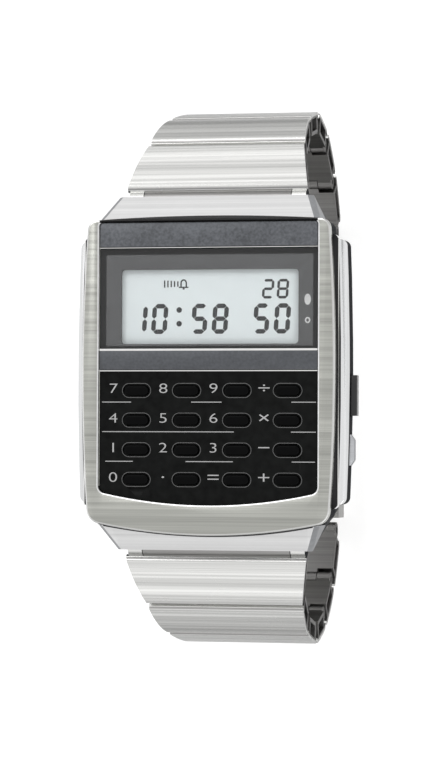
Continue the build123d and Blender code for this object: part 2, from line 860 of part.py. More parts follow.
# Spring bars at the case
bar_half = case_barrel_half + ear_gap + ear_width - pin_inset
with BuildPart() as spring_bars:
    with BuildSketch(Plane.YZ):
        with Locations((-first_pivot_y, pivots[0][1]), (first_pivot_y, pivots[0][1])):
            Circle(pin_radius)
    extrude(amount=bar_half, both=True)
spring_bars.part.label = "spring_bars"
export_step(spring_bars.part, "parts/spring_bars.step")

# Bracelet links: a folded hollow sheet, a barrel at the end nearer the case, ears at the other
wall_start = barrel_radius + barrel_clear
for prefix, end in (("upper", 1), ("lower", -1)):
    for number, s in enumerate(slopes, start=1):
        y, z = pivots[number - 1]
        along = (0, end * math.cos(s), -math.sin(s))
        frame = Plane(origin=(0, end * y, z), x_dir=along, z_dir=(end, 0, 0))
        top = Plane(origin=(0, end * y, z), x_dir=along, z_dir=(0, end * math.sin(s), math.cos(s)))
        near_half = link_half_widths[number - 1]
        far_half = link_half_widths[number]
        barrel_half = near_half - ear_width - ear_gap - barrel_clear
        far_barrel_half = far_half - ear_width - ear_gap - barrel_clear
        last = number == len(slopes)
        plate_start = case_link_gap if number == 1 else link_gap
        plate_end = link_pitch - (clasp_link_gap if last else link_gap)
        with BuildPart() as link:
            with BuildSketch(frame):
                rectangle_between(wall_start, -link_inner, link_pitch - wall_start, link_outer)
                with BuildSketch(mode=Mode.ADD) as plate:
                    rectangle_between(plate_start, link_outer - link_sheet, plate_end, link_outer)
                    fillet(plate.vertices().group_by(Axis.Y)[-1], link_edge_radius)
                with BuildSketch(mode=Mode.SUBTRACT):
                    rectangle_between(
                        wall_start + link_sheet,
                        -link_inner + link_sheet,
                        link_pitch - wall_start - link_sheet,
                        link_outer - link_sheet,
                    )
            extrude(amount=near_half, both=True)
            with BuildSketch(top):
                with BuildLine():
                    Polyline(
                        (0, -near_half),
                        (0, near_half),
                        (link_pitch, far_half),
                        (link_pitch, -far_half),
                        (0, -near_half),
                    )
                make_face()
            extrude(amount=2 * link_outer, both=True, mode=Mode.INTERSECT)
            with BuildSketch(frame):
                Circle(barrel_radius)
                rectangle_between(0, -link_inner, wall_start + link_sheet / 2, link_inner)
            extrude(amount=barrel_half, both=True)
            for side in (-1, 1):
                with BuildSketch(frame.offset(side * (far_barrel_half + ear_gap))):
                    with Locations((link_pitch, 0)):
                        Circle(barrel_radius)
                    rectangle_between(
                        link_pitch - wall_start - link_sheet / 2,
                        -link_inner,
                        link_pitch,
                        link_inner,
                    )
                extrude(amount=side * ear_width)
            with BuildSketch(frame):
                with Locations((0, 0), (link_pitch, 0)):
                    Circle(pin_radius + pin_clearance)
            extrude(amount=near_half, both=True, mode=Mode.SUBTRACT)
            if prefix == "upper" or not last:
                with BuildSketch(frame):
                    with Locations((link_pitch, 0)):
                        Circle(pin_radius)
                extrude(amount=far_barrel_half + ear_gap + ear_width - pin_inset, both=True)
        link.part.label = f"{prefix}_link_{number}"
        export_step(link.part, f"parts/{prefix}_link_{number}.step")

# Clasp cover: floor, side walls, knuckle at the lower end, ears at the upper end
cover_half_width = end_link_half_width + cover_side_reach
clasp_barrel_half = end_link_half_width - ear_width - ear_gap - barrel_clear
cover_end = clasp_pivot_y - barrel_radius - cover_end_gap
ear_outer = clasp_barrel_half - ear_gap
ear_inner = ear_outer - blade_ear_width
blade_half_width = ear_inner - blade_side_gap
floor_end = clasp_pivot_y - blade_barrel_radius - ear_gap
with BuildPart() as clasp_cover:
    with BuildSketch():
        rectangle_between(-cover_half_width, -cover_end, cover_half_width, cover_end)
    extrude(amount=cover_wall_height)
    with BuildSketch(Plane.XY.offset(cover_floor)):
        rectangle_between(
            -cover_half_width + cover_wall,
            -cover_end + cover_wall,
            cover_half_width - cover_wall,
            cover_end,
        )
    extrude(amount=cover_wall_height, mode=Mode.SUBTRACT)
    fillet(clasp_cover.edges().filter_by(Axis.Y).group_by(Axis.Z)[0], cover_edge_radius)
    with BuildSketch(Plane.YZ):
        with Locations((-clasp_pivot_y, clasp_pivot_height)):
            Circle(barrel_radius)
        rectangle_between(
            -clasp_pivot_y,
            clasp_pivot_height - link_inner,
            -cover_end + cover_wall / 2,
            clasp_pivot_height + link_inner,
        )
    extrude(amount=clasp_barrel_half, both=True)
    for side in (-1, 1):
        with BuildSketch(Plane.YZ.offset(side * ear_inner)):
            with Locations((clasp_pivot_y, blade_pivot_height)):
                Circle(blade_barrel_radius)
            rectangle_between(cover_end - cover_floor, 0, clasp_pivot_y, cover_floor + blade_barrel_radius)
            with BuildSketch(mode=Mode.SUBTRACT):
                rectangle_between(
                    clasp_pivot_y,
                    blade_barrel_radius - blade_pivot_height,
                    clasp_pivot_y + 2 * blade_barrel_radius,
                    blade_pivot_height - blade_barrel_radius,
                )
        extrude(amount=side * blade_ear_width)
    with BuildSketch(Plane.YZ):
        with Locations((-clasp_pivot_y, clasp_pivot_height), (clasp_pivot_y, blade_pivot_height)):
            Circle(pin_radius + pin_clearance)
    extrude(amount=cover_half_width, both=True, mode=Mode.SUBTRACT)
    with BuildSketch(Plane.YZ):
        with Locations((-clasp_pivot_y, clasp_pivot_height)):
            Circle(pin_radius)
    extrude(amount=clasp_barrel_half - pin_inset, both=True)
    with BuildSketch(Plane.YZ):
        with Locations((clasp_pivot_y, blade_pivot_height)):
            Circle(pin_radius)
    extrude(amount=ear_outer - pin_inset, both=True)
clasp_cover.part.label = "clasp_cover"
export_step(clasp_cover.part, "parts/clasp_cover.step")

# Folding blades: the outer one turns in the cover, the inner one on the outer one's far end
blade_fold_y = clasp_pivot_y - blade_length
fold_z = (blade_pivot_height + clasp_pivot_height) / 2
fold_barrel_half = blade_half_width - blade_ear_width
with BuildPart() as clasp_outer_blade:
    with BuildSketch(Plane.YZ):
        with Locations((clasp_pivot_y, blade_pivot_height)):
            Circle(blade_barrel_radius)
        rectangle_between(
            blade_fold_y + blade_barrel_radius + barrel_clear,
            blade_pivot_height - blade_thickness / 2,
            clasp_pivot_y,
            blade_pivot_height + blade_thickness / 2,
        )
    extrude(amount=ear_inner - ear_gap, both=True)
    for side in (-1, 1):
        with BuildSketch(Plane.YZ.offset(side * (fold_barrel_half + ear_gap))):
            with Locations((blade_fold_y, fold_z)):
                Circle(blade_barrel_radius)
            rectangle_between(
                blade_fold_y,
                blade_pivot_height - blade_thickness / 2,
                blade_fold_y + blade_barrel_radius + 2 * barrel_clear,
                fold_z,
            )
        extrude(amount=side * (blade_ear_width - ear_gap))
    with BuildSketch(Plane.YZ):
        with Locations((clasp_pivot_y, blade_pivot_height), (blade_fold_y, fold_z)):
            Circle(pin_radius + pin_clearance)
    extrude(amount=cover_half_width, both=True, mode=Mode.SUBTRACT)
    with BuildSketch(Plane.YZ):
        with Locations((blade_fold_y, fold_z)):
            Circle(pin_radius)
    extrude(amount=blade_half_width - pin_inset, both=True)
clasp_outer_blade.part.label = "clasp_outer_blade"
export_step(clasp_outer_blade.part, "parts/clasp_outer_blade.step")

with BuildPart() as clasp_inner_blade:
    with BuildSketch(Plane.YZ):
        rectangle_between(
            blade_fold_y + blade_barrel_radius + barrel_clear,
            clasp_pivot_height - blade_thickness / 2,
            clasp_pivot_y,
            clasp_pivot_height + blade_thickness / 2,
        )
    extrude(amount=blade_half_width, both=True)
    with BuildSketch(Plane.YZ):
        with Locations((clasp_pivot_y, clasp_pivot_height)):
            Circle(barrel_radius)
    extrude(amount=clasp_barrel_half, both=True)
    with BuildSketch(Plane.YZ):
        with Locations((blade_fold_y, fold_z)):
            Circle(blade_barrel_radius)
        rectangle_between(
            blade_fold_y - blade_barrel_radius,
            fold_z,
            blade_fold_y + blade_barrel_radius,
            clasp_pivot_height + blade_thickness / 2,
        )
        rectangle_between(
            blade_fold_y,
            clasp_pivot_height - blade_thickness / 2,
            blade_fold_y + blade_barrel_radius + 2 * barrel_clear,
            clasp_pivot_height + blade_thickness / 2,
        )
    extrude(amount=fold_barrel_half, both=True)
    with BuildSketch(Plane.YZ):
        with Locations((clasp_pivot_y, clasp_pivot_height), (blade_fold_y, fold_z)):
            Circle(pin_radius + pin_clearance)
    extrude(amount=cover_half_width, both=True, mode=Mode.SUBTRACT)
clasp_inner_blade.part.label = "clasp_inner_blade"
export_step(clasp_inner_blade.part, "parts/clasp_inner_blade.step")

print("face height", round(face_z, 3), "case bottom", round(case_bottom, 3))
print("pivots", [(round(y, 3), round(z, 3)) for y, z in pivots])
print("blade fold", round(blade_fold_y, 3), round(fold_z, 3))
print("pusher height", round(pusher_z, 3), "pocket", round(pusher_pocket_x, 3))
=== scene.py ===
"""Looks of a digital calculator watch on a folded-link steel bracelet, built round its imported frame.

Sizes typed here are millimetres on the watch, turned into metres by MM. Places come from the frame's boxes
and joints.
"""

import json
import logging
import math
from collections.abc import Callable
from dataclasses import dataclass
from enum import Enum

import bmesh
import bpy
from mathutils import Matrix, Vector

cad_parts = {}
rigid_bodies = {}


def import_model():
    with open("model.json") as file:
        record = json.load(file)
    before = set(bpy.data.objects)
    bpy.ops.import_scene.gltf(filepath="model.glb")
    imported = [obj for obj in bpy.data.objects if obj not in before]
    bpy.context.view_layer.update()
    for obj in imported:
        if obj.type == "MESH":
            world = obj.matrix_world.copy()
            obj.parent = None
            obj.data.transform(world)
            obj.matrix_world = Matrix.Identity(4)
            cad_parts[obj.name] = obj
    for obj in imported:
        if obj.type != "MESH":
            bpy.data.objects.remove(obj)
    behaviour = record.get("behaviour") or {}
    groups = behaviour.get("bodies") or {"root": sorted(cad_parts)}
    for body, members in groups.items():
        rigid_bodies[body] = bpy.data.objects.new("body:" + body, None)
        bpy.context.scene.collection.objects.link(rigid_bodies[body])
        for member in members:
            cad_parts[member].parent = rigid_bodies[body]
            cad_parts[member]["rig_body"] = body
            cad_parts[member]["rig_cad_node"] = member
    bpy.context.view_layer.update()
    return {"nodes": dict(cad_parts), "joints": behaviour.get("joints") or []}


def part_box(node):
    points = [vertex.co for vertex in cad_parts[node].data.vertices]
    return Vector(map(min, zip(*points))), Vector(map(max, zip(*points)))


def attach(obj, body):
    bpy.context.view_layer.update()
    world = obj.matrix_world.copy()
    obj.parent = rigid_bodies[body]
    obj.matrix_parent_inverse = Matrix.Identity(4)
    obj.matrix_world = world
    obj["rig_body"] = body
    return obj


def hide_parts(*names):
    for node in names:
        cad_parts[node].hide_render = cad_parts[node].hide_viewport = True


log = logging.getLogger("watch")
MM = 0.001
IMAGE_WIDTH = 430
IMAGE_HEIGHT = 759
Colour = tuple[float, float, float]
Outline = list[tuple[float, float]]
SHADE_AND_HEIGHT = {"Shade": "Float", "Height": "Float"}
WHITE = (1.0, 1.0, 1.0, 1.0)
MIDDLE_SHADES = (0.36, 0.64)
LINE_SHADES = (0.34, 0.66)
RING_SHADES = (0.3, 0.7)
MERGE_DISTANCE = 0.001
FLAT_DEGREES = 0.6
SHARP_DEGREES = 28.0
CREASE_DEGREES = 32.0
ROUND_PROFILE = 0.5


@dataclass
class Frame:
    """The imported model's nodes, and its joints by name."""

    nodes: dict[str, bpy.types.Object]
    joints: dict[str, dict]

    def low(self, node: str) -> Vector:
        """Lowest corner of a node, in metres."""
        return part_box(node)[0]

    def high(self, node: str) -> Vector:
        """Highest corner of a node, in metres."""
        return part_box(node)[1]

    def centre(self, node: str) -> Vector:
        """Middle of a node's box, in metres."""
        return (self.low(node) + self.high(node)) / 2

    def size(self, node: str) -> Vector:
        """Lengths of a node's box, in metres."""
        return self.high(node) - self.low(node)

    def body(self, node: str) -> str:
        """Name of the body that a node rides on."""
        return self.nodes[node]["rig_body"]

    def pivot(self, joint: str) -> Vector:
        """A joint's place, in metres."""
        return Vector(self.joints[joint]["pos_m"])


class NodeWriter:
    """Adds nodes to a tree and joins them."""

    def __init__(self, tree: bpy.types.NodeTree) -> None:
        """Keeps the tree that the nodes go into."""
        self.tree = tree

    def add(self, kind: str, inputs: dict | None = None, **settings: object) -> bpy.types.Node:
        """Adds one node.

        Args:
            kind: Blender's type of node.
            inputs: values or sockets, by the input's name or place.
            settings: the node's own properties.

        Returns:
            The node.
        """
        node = self.tree.nodes.new(kind)
        for name, value in settings.items():
            setattr(node, name, value)
        for socket, value in (inputs or {}).items():
            if isinstance(value, bpy.types.NodeSocket):
                self.tree.links.new(value, node.inputs[socket])
            else:
                node.inputs[socket].default_value = value
        return node

    def math(self, operation: str, first: object, second: object = 0.0) -> bpy.types.NodeSocket:
        """Result of one sum on numbers."""
        return self.add("ShaderNodeMath", {0: first, 1: second}, operation=operation).outputs[0]

    def plus(self, first: object, second: object) -> bpy.types.NodeSocket:
        """Sum of two numbers."""
        return self.math("ADD", first, second)

    def minus(self, first: object, second: object) -> bpy.types.NodeSocket:
        """First number less the second."""
        return self.math("SUBTRACT", first, second)

    def times(self, first: object, second: object) -> bpy.types.NodeSocket:
        """Product of two numbers."""
        return self.math("MULTIPLY", first, second)

    def over(self, first: object, second: object) -> bpy.types.NodeSocket:
        """First number divided by the second."""
        return self.math("DIVIDE", first, second)

    def unit_rest(self, share: object) -> bpy.types.NodeSocket:
        """What a number's square leaves of one, and never less than zero."""
        return self.math("MAXIMUM", self.minus(1.0, self.times(share, share)), 0.0)

    def rounding(self, radius: object, climb: object) -> bpy.types.NodeSocket:
        """How far a round edge falls back where a share of its radius is climbed."""
        return self.times(radius, self.minus(1.0, self.math("SQRT", self.unit_rest(climb))))

    def position(self) -> list[bpy.types.NodeSocket]:
        """The three numbers of a point's place."""
        place = self.add("GeometryNodeInputPosition").outputs[0]
        return list(self.add("ShaderNodeSeparateXYZ", {0: place}).outputs)

    def vector(self, operation: str, first: object, second: object) -> bpy.types.NodeSocket:
        """Result of one sum on vectors."""
        return self.add("ShaderNodeVectorMath", {0: first, 1: second}, operation=operation).outputs[0]

    def scaled(self, vector: object, factor: object) -> bpy.types.NodeSocket:
        """A vector or colour times a number."""
        return self.add("ShaderNodeVectorMath", {0: vector, "Scale": factor}, operation="SCALE").outputs[0]

    def spread(
        self, value: object, low: float, high: float, to_low: float, to_high: float
    ) -> bpy.types.NodeSocket:
        """A value moved from one range to another, held inside it."""
        inputs = {"Value": value, "From Min": low, "From Max": high, "To Min": to_low, "To Max": to_high}
        return self.add("ShaderNodeMapRange", inputs).outputs[0]

    def blend(self, first: object, second: object, share: float) -> bpy.types.NodeSocket:
        """Two numbers added, the second one taken at its share and the first at the rest."""
        return self.plus(self.times(first, 1 - share), self.times(second, share))

    def joined(self, x: object = 0.0, y: object = 0.0, z: object = 0.0) -> bpy.types.NodeSocket:
        """A vector put together from its three numbers."""
        return self.add("ShaderNodeCombineXYZ", {0: x, 1: y, 2: z}).outputs[0]

    def length(self, vector: object) -> bpy.types.NodeSocket:
        """Length of a vector."""
        return self.add("ShaderNodeVectorMath", {0: vector}, operation="LENGTH").outputs["Value"]

    def noise(self, place: object, scale: float, detail: float) -> bpy.types.NodeSocket:
        """Noise value at a place."""
        inputs = {"Vector": place, "Scale": scale, "Detail": detail}
        return self.add("ShaderNodeTexNoise", inputs).outputs[0]


def new_group(kind: str, name: str, inputs: dict[str, str], outputs: dict[str, str]) -> tuple:
    """Starts a node group with named sockets.

    Args:
        kind: type of the tree.
        name: its name.
        inputs: input names and their socket types without the NodeSocket prefix.
        outputs: output names and their types.

    Returns:
        The writer, the node of inputs and the node of outputs.
    """
    tree = bpy.data.node_groups.new(name, kind)
    for way, sockets in (("INPUT", inputs), ("OUTPUT", outputs)):
        for socket, value in sockets.items():
            tree.interface.new_socket(socket, in_out=way, socket_type=f"NodeSocket{value}")
    writer = NodeWriter(tree)
    return writer, writer.add("NodeGroupInput"), writer.add("NodeGroupOutput")


def grain_group() -> bpy.types.NodeTree:
    """Lines left by a brush. Stretch is how many streaks pass in a metre along each axis.

    Returns:
        A group that gives a shade and a height, each about one half.
    """
    broad_scale, scratch_scale = 0.22, 0.6
    scratch_from, scratch_to, scratch_depth = 0.62, 0.72, 0.35
    broad_share = 0.55
    sockets = {"Coordinate": "Vector", "Stretch": "Vector"}
    writer, given, made = new_group("ShaderNodeTree", "Brush lines", sockets, SHADE_AND_HEIGHT)
    place = writer.vector("MULTIPLY", given.outputs["Coordinate"], given.outputs["Stretch"])
    fine = writer.noise(place, 1.0, 3.0)
    broad = writer.noise(place, broad_scale, 2.0)
    scratch = writer.noise(place, scratch_scale, 1.0)
    groove = writer.spread(scratch, scratch_from, scratch_to, 0.0, scratch_depth)
    writer.tree.links.new(writer.blend(fine, broad, broad_share), made.inputs["Shade"])
    writer.tree.links.new(writer.minus(fine, groove), made.inputs["Height"])
    return writer.tree


def rings_group() -> bpy.types.NodeTree:
    """Round lines left by a lathe, about a centre.

    Returns:
        A group that gives a shade and a height.
    """
    sockets = {"Coordinate": "Vector", "Centre": "Vector", "Lines": "Float"}
    writer, given, made = new_group("ShaderNodeTree", "Turned rings", sockets, SHADE_AND_HEIGHT)
    from_centre = writer.vector("SUBTRACT", given.outputs["Coordinate"], given.outputs["Centre"])
    flat = writer.vector("MULTIPLY", from_centre, (1.0, 1.0, 0.0))
    across = writer.joined(writer.times(writer.length(flat), given.outputs["Lines"]))
    fine = writer.noise(across, 1.0, 2.0)
    writer.tree.links.new(fine, made.inputs["Shade"])
    writer.tree.links.new(fine, made.inputs["Height"])
    return writer.tree


def mottle_group() -> bpy.types.NodeTree:
    """Fine speckle and soft clouds of a sprayed, moulded or blasted surface.

    Returns:
        A group that gives a shade and a height, each about one half.
    """
    cloud_scale, cloud_share = 0.12, 0.35
    sockets = {"Coordinate": "Vector", "Scale": "Float"}
    writer, given, made = new_group("ShaderNodeTree", "Mottle", sockets, SHADE_AND_HEIGHT)
    place = writer.scaled(given.outputs["Coordinate"], given.outputs["Scale"])
    fine = writer.noise(place, 1.0, 4.0)
    cloud = writer.noise(place, cloud_scale, 2.0)
    writer.tree.links.new(writer.blend(fine, cloud, cloud_share), made.inputs["Shade"])
    writer.tree.links.new(fine, made.inputs["Height"])
    return writer.tree


def wear_group() -> bpy.types.NodeTree:
    """Faint marks of handling.

    Returns:
        A group that gives an amount from 0 to 1.
    """
    clean_below, worn_above = 0.4, 0.68
    sockets = {"Coordinate": "Vector", "Scale": "Float"}
    writer, given, made = new_group("ShaderNodeTree", "Handling marks", sockets, {"Amount": "Float"})
    place = writer.scaled(given.outputs["Coordinate"], given.outputs["Scale"])
    cloud = writer.noise(place, 1.0, 3.0)
    writer.tree.links.new(writer.spread(cloud, clean_below, worn_above, 0.0, 1.0), made.inputs["Amount"])
    return writer.tree


class Groups:
    """The shared shader groups, each built once."""

    made: dict[str, bpy.types.NodeTree] = {}
    builders: dict[str, Callable] = {
        "grain": grain_group,
        "rings": rings_group,
        "mottle": mottle_group,
        "wear": wear_group,
    }

    @classmethod
    def get(cls, name: str) -> bpy.types.NodeTree:
        """A shared group by its short name."""
        if name not in cls.made:
            cls.made[name] = cls.builders[name]()
        return cls.made[name]


class Grain(Enum):
    """Brush lines a metre along each axis."""

    ALONG_X = (42.0, 6200.0, 6200.0)
    ALONG_X_SHORT = (160.0, 7500.0, 7500.0)
    LONG_STREAKS = (13.0, 3400.0, 3400.0)
    ALONG_Y = (6200.0, 42.0, 6200.0)
    BLASTED = (5200.0, 5200.0, 5200.0)


class Finish:
    """What every finish needs: a material with one surface shader."""

    def start(
        self, name: str
    ) -> tuple[bpy.types.Material, NodeWriter, bpy.types.Node, bpy.types.NodeSocket]:
        """Starts a material.

        Args:
            name: the material's name.

        Returns:
            The material, its writer, the surface shader and the Object coordinates.
        """
        material = bpy.data.materials.new(name)
        material.use_nodes = True
        material.node_tree.nodes.clear()
        writer = NodeWriter(material.node_tree)
        shader = writer.add("ShaderNodeBsdfPrincipled")
        writer.add("ShaderNodeOutputMaterial", {"Surface": shader.outputs[0]})
        return material, writer, shader, writer.add("ShaderNodeTexCoord").outputs["Object"]

    def join(self, writer: NodeWriter, shader: bpy.types.Node, sockets: dict[str, object]) -> None:
        """Feeds the surface shader."""
        for socket, value in sockets.items():
            if isinstance(value, bpy.types.NodeSocket):
                writer.tree.links.new(value, shader.inputs[socket])
            else:
                shader.inputs[socket].default_value = value

    def pattern(
        self, writer: NodeWriter, group: str, place: bpy.types.NodeSocket, **values: object
    ) -> bpy.types.bpy_prop_collection:
        """Places a shared group in the material.

        Args:
            writer: the material's writer.
            group: the group's short name.
            place: the coordinates that it reads.
            values: the group's own inputs, by name.

        Returns:
            The group's outputs.
        """
        node = writer.add("ShaderNodeGroup", node_tree=Groups.get(group))
        writer.tree.links.new(place, node.inputs["Coordinate"])
        for socket, value in values.items():
            node.inputs[socket].default_value = value
        return node.outputs

    def bump(self, writer: NodeWriter, height: object, depth: float) -> bpy.types.NodeSocket:
        """Normal of a fine relief whose depth is in millimetres."""
        inputs = {"Height": height, "Distance": depth * MM, "Strength": 1.0}
        return writer.add("ShaderNodeBump", inputs).outputs[0]


@dataclass(frozen=True)
class BrushedMetal(Finish):
    """Metal with brush lines. Graze is how bright it is at a grazing angle."""

    name: str
    colour: Colour
    grain: Grain = Grain.ALONG_X
    roughness: float = 0.3
    contrast: float = 0.1
    depth: float = 0.008
    graze: float = 1.0
    marks: float = 0.01
    marks_scale: float = 90.0

    def build(self) -> bpy.types.Material:
        """The material."""
        material, writer, shader, place = self.start(self.name)
        lines = self.pattern(writer, "grain", place, Stretch=self.grain.value)
        marks = self.pattern(writer, "wear", place, Scale=self.marks_scale)
        factor = writer.spread(lines["Shade"], *LINE_SHADES, 1 - self.contrast, 1 + self.contrast)
        dulling = writer.spread(marks["Amount"], 0.0, 1.0, -self.marks, 2 * self.marks)
        self.join(writer, shader, {
            "Base Color": writer.scaled(self.colour, factor),
            "Metallic": 1.0,
            "Specular Tint": (self.graze, self.graze, self.graze, 1.0),
            "Roughness": writer.plus(dulling, self.roughness),
            "Normal": self.bump(writer, lines["Height"], self.depth),
        })
        return material


@dataclass(frozen=True)
class TurnedMetal(Finish):
    """Metal with round lathe lines about a centre."""

    name: str
    colour: Colour
    centre: tuple[float, float]
    lines: float = 5000.0
    roughness: float = 0.28
    polish: float = 0.04
    haze: float = 0.06
    contrast: float = 0.1
    depth: float = 0.006

    def build(self) -> bpy.types.Material:
        """The material."""
        material, writer, shader, place = self.start(self.name)
        rings = self.pattern(writer, "rings", place, Centre=(*self.centre, 0.0), Lines=self.lines)
        factor = writer.spread(rings["Shade"], *LINE_SHADES, 1 - self.contrast, 1 + self.contrast)
        smoother, rougher = self.roughness - self.polish, self.roughness + self.haze
        self.join(writer, shader, {
            "Base Color": writer.scaled(self.colour, factor),
            "Metallic": 1.0,
            "Roughness": writer.spread(rings["Shade"], *RING_SHADES, smoother, rougher),
            "Normal": self.bump(writer, rings["Height"], self.depth),
        })
        return material


@dataclass(frozen=True)
class SmoothMetal(Finish):
    """Polished or satin metal with faint marks."""

    name: str
    colour: Colour
    roughness: float = 0.14
    marks: float = 0.06
    marks_scale: float = 420.0

    def build(self) -> bpy.types.Material:
        """The material."""
        material, writer, shader, place = self.start(self.name)
        amount = self.pattern(writer, "wear", place, Scale=self.marks_scale)["Amount"]
        self.join(writer, shader, {
            "Base Color": writer.scaled(self.colour, writer.spread(amount, 0.0, 1.0, 1.0, 1 - self.marks)),
            "Metallic": 1.0,
            "Roughness": writer.spread(amount, 0.0, 1.0, self.roughness, self.roughness + self.marks),
        })
        return material


@dataclass(frozen=True)
class Moulded(Finish):
    """Plastic, rubber, paint or ink with a fine speckle."""

    name: str
    colour: Colour
    roughness: float = 0.5
    gloss: float = 0.5
    scale: float = 2600.0
    contrast: float = 0.08
    depth: float = 0.004
    metallic: float = 0.0
    haze: float = 0.05

    def build(self) -> bpy.types.Material:
        """The material."""
        material, writer, shader, place = self.start(self.name)
        speckle = self.pattern(writer, "mottle", place, Scale=self.scale)
        shade = speckle["Shade"]
        factor = writer.spread(shade, *MIDDLE_SHADES, 1 - self.contrast, 1 + self.contrast)
        smoother, rougher = self.roughness - self.haze, self.roughness + self.haze
        self.join(writer, shader, {
            "Base Color": writer.scaled(self.colour, factor),
            "Metallic": self.metallic,
            "Specular IOR Level": self.gloss,
            "Roughness": writer.spread(shade, *MIDDLE_SHADES, smoother, rougher),
            "Normal": self.bump(writer, speckle["Height"], self.depth),
        })
        return material


@dataclass(frozen=True)
class ClearWindow(Finish):
    """Clear polished window that lets light through to the display."""

    name: str
    colour: Colour = (0.97, 0.98, 0.98)
    roughness: float = 0.02
    index: float = 1.46
    marks_scale: float = 160.0

    def build(self) -> bpy.types.Material:
        """The material."""
        material, writer, shader, place = self.start(self.name)
        wear = self.pattern(writer, "wear", place, Scale=self.marks_scale)
        self.join(writer, shader, {
            "Base Color": (*self.colour, 1.0),
            "Transmission Weight": 1.0,
            "Roughness": writer.spread(wear["Amount"], 0.0, 1.0, self.roughness / 2, self.roughness),
            "IOR": self.index,
        })
        shadow = writer.add("ShaderNodeLightPath").outputs["Is Shadow Ray"]
        clear = writer.add("ShaderNodeBsdfTransparent").outputs[0]
        mixed = writer.add("ShaderNodeMixShader", {0: shadow, 1: shader.outputs[0], 2: clear})
        output = next(node for node in writer.tree.nodes if node.type == "OUTPUT_MATERIAL")
        writer.tree.links.new(mixed.outputs[0], output.inputs["Surface"])
        return material


@dataclass(frozen=True)
class DisplayCell(Finish):
    """Pale liquid crystal cell, with painted shade that makes it a little darker towards its edges,
    standing for the shadow of the recess's walls.
    """

    name: str
    colour: Colour
    centre: tuple[float, float]
    half: tuple[float, float]
    edge: float = 0.9
    edge_shade: float = 0.8
    scale: float = 700.0
    contrast: float = 0.015
    roughness: float = 0.55
    gloss: float = 0.3

    def build(self) -> bpy.types.Material:
        """The material."""
        material, writer, shader, place = self.start(self.name)
        from_centre = writer.vector("SUBTRACT", place, (*self.centre, 0.0))
        away = writer.vector("ABSOLUTE", from_centre, (0.0, 0.0, 0.0))
        parts = writer.add("ShaderNodeSeparateXYZ", {0: away})
        rooms = [writer.minus(self.half[axis], parts.outputs[axis]) for axis in range(2)]
        room = writer.math("MINIMUM", rooms[0], rooms[1])
        # Painted shade: the colour darkens within edge of the cell's borders, for the shadow that the
        # recess's walls cast.
        shade = writer.spread(room, 0.0, self.edge * MM, self.edge_shade, 1.0)
        speckle = self.pattern(writer, "mottle", place, Scale=self.scale)
        cloud = writer.spread(speckle["Shade"], *MIDDLE_SHADES, 1 - self.contrast, 1 + self.contrast)
        self.join(writer, shader, {
            "Base Color": writer.scaled(self.colour, writer.times(shade, cloud)),
            "Roughness": self.roughness,
            "Specular IOR Level": self.gloss,
        })
        return material


@dataclass(frozen=True)
class PrintedBoard(Finish):
    """Green circuit board with copper tracks under its mask."""

    name: str
    mask: Colour = (0.02, 0.1, 0.05)
    track: Colour = (0.06, 0.2, 0.07)
    run: float = 3.4
    pitch: float = 0.9
    track_width: float = 0.1
    stagger: float = 0.37
    roughness: float = 0.34
    depth: float = 0.02

    def build(self) -> bpy.types.Material:
        """The material."""
        material, writer, shader, place = self.start(self.name)
        tracks = writer.add("ShaderNodeTexBrick", {
            "Vector": place,
            "Scale": 1.0,
            "Brick Width": self.run * MM,
            "Row Height": self.pitch * MM,
            "Mortar Size": self.track_width * MM,
            "Color1": (*self.mask, 1.0),
            "Color2": (*self.mask, 1.0),
            "Mortar": (*self.track, 1.0),
        }, offset=self.stagger)
        self.join(writer, shader, {
            "Base Color": tracks.outputs["Color"],
            "Roughness": self.roughness,
            "Normal": self.bump(writer, tracks.outputs["Fac"], self.depth),
        })
        return material


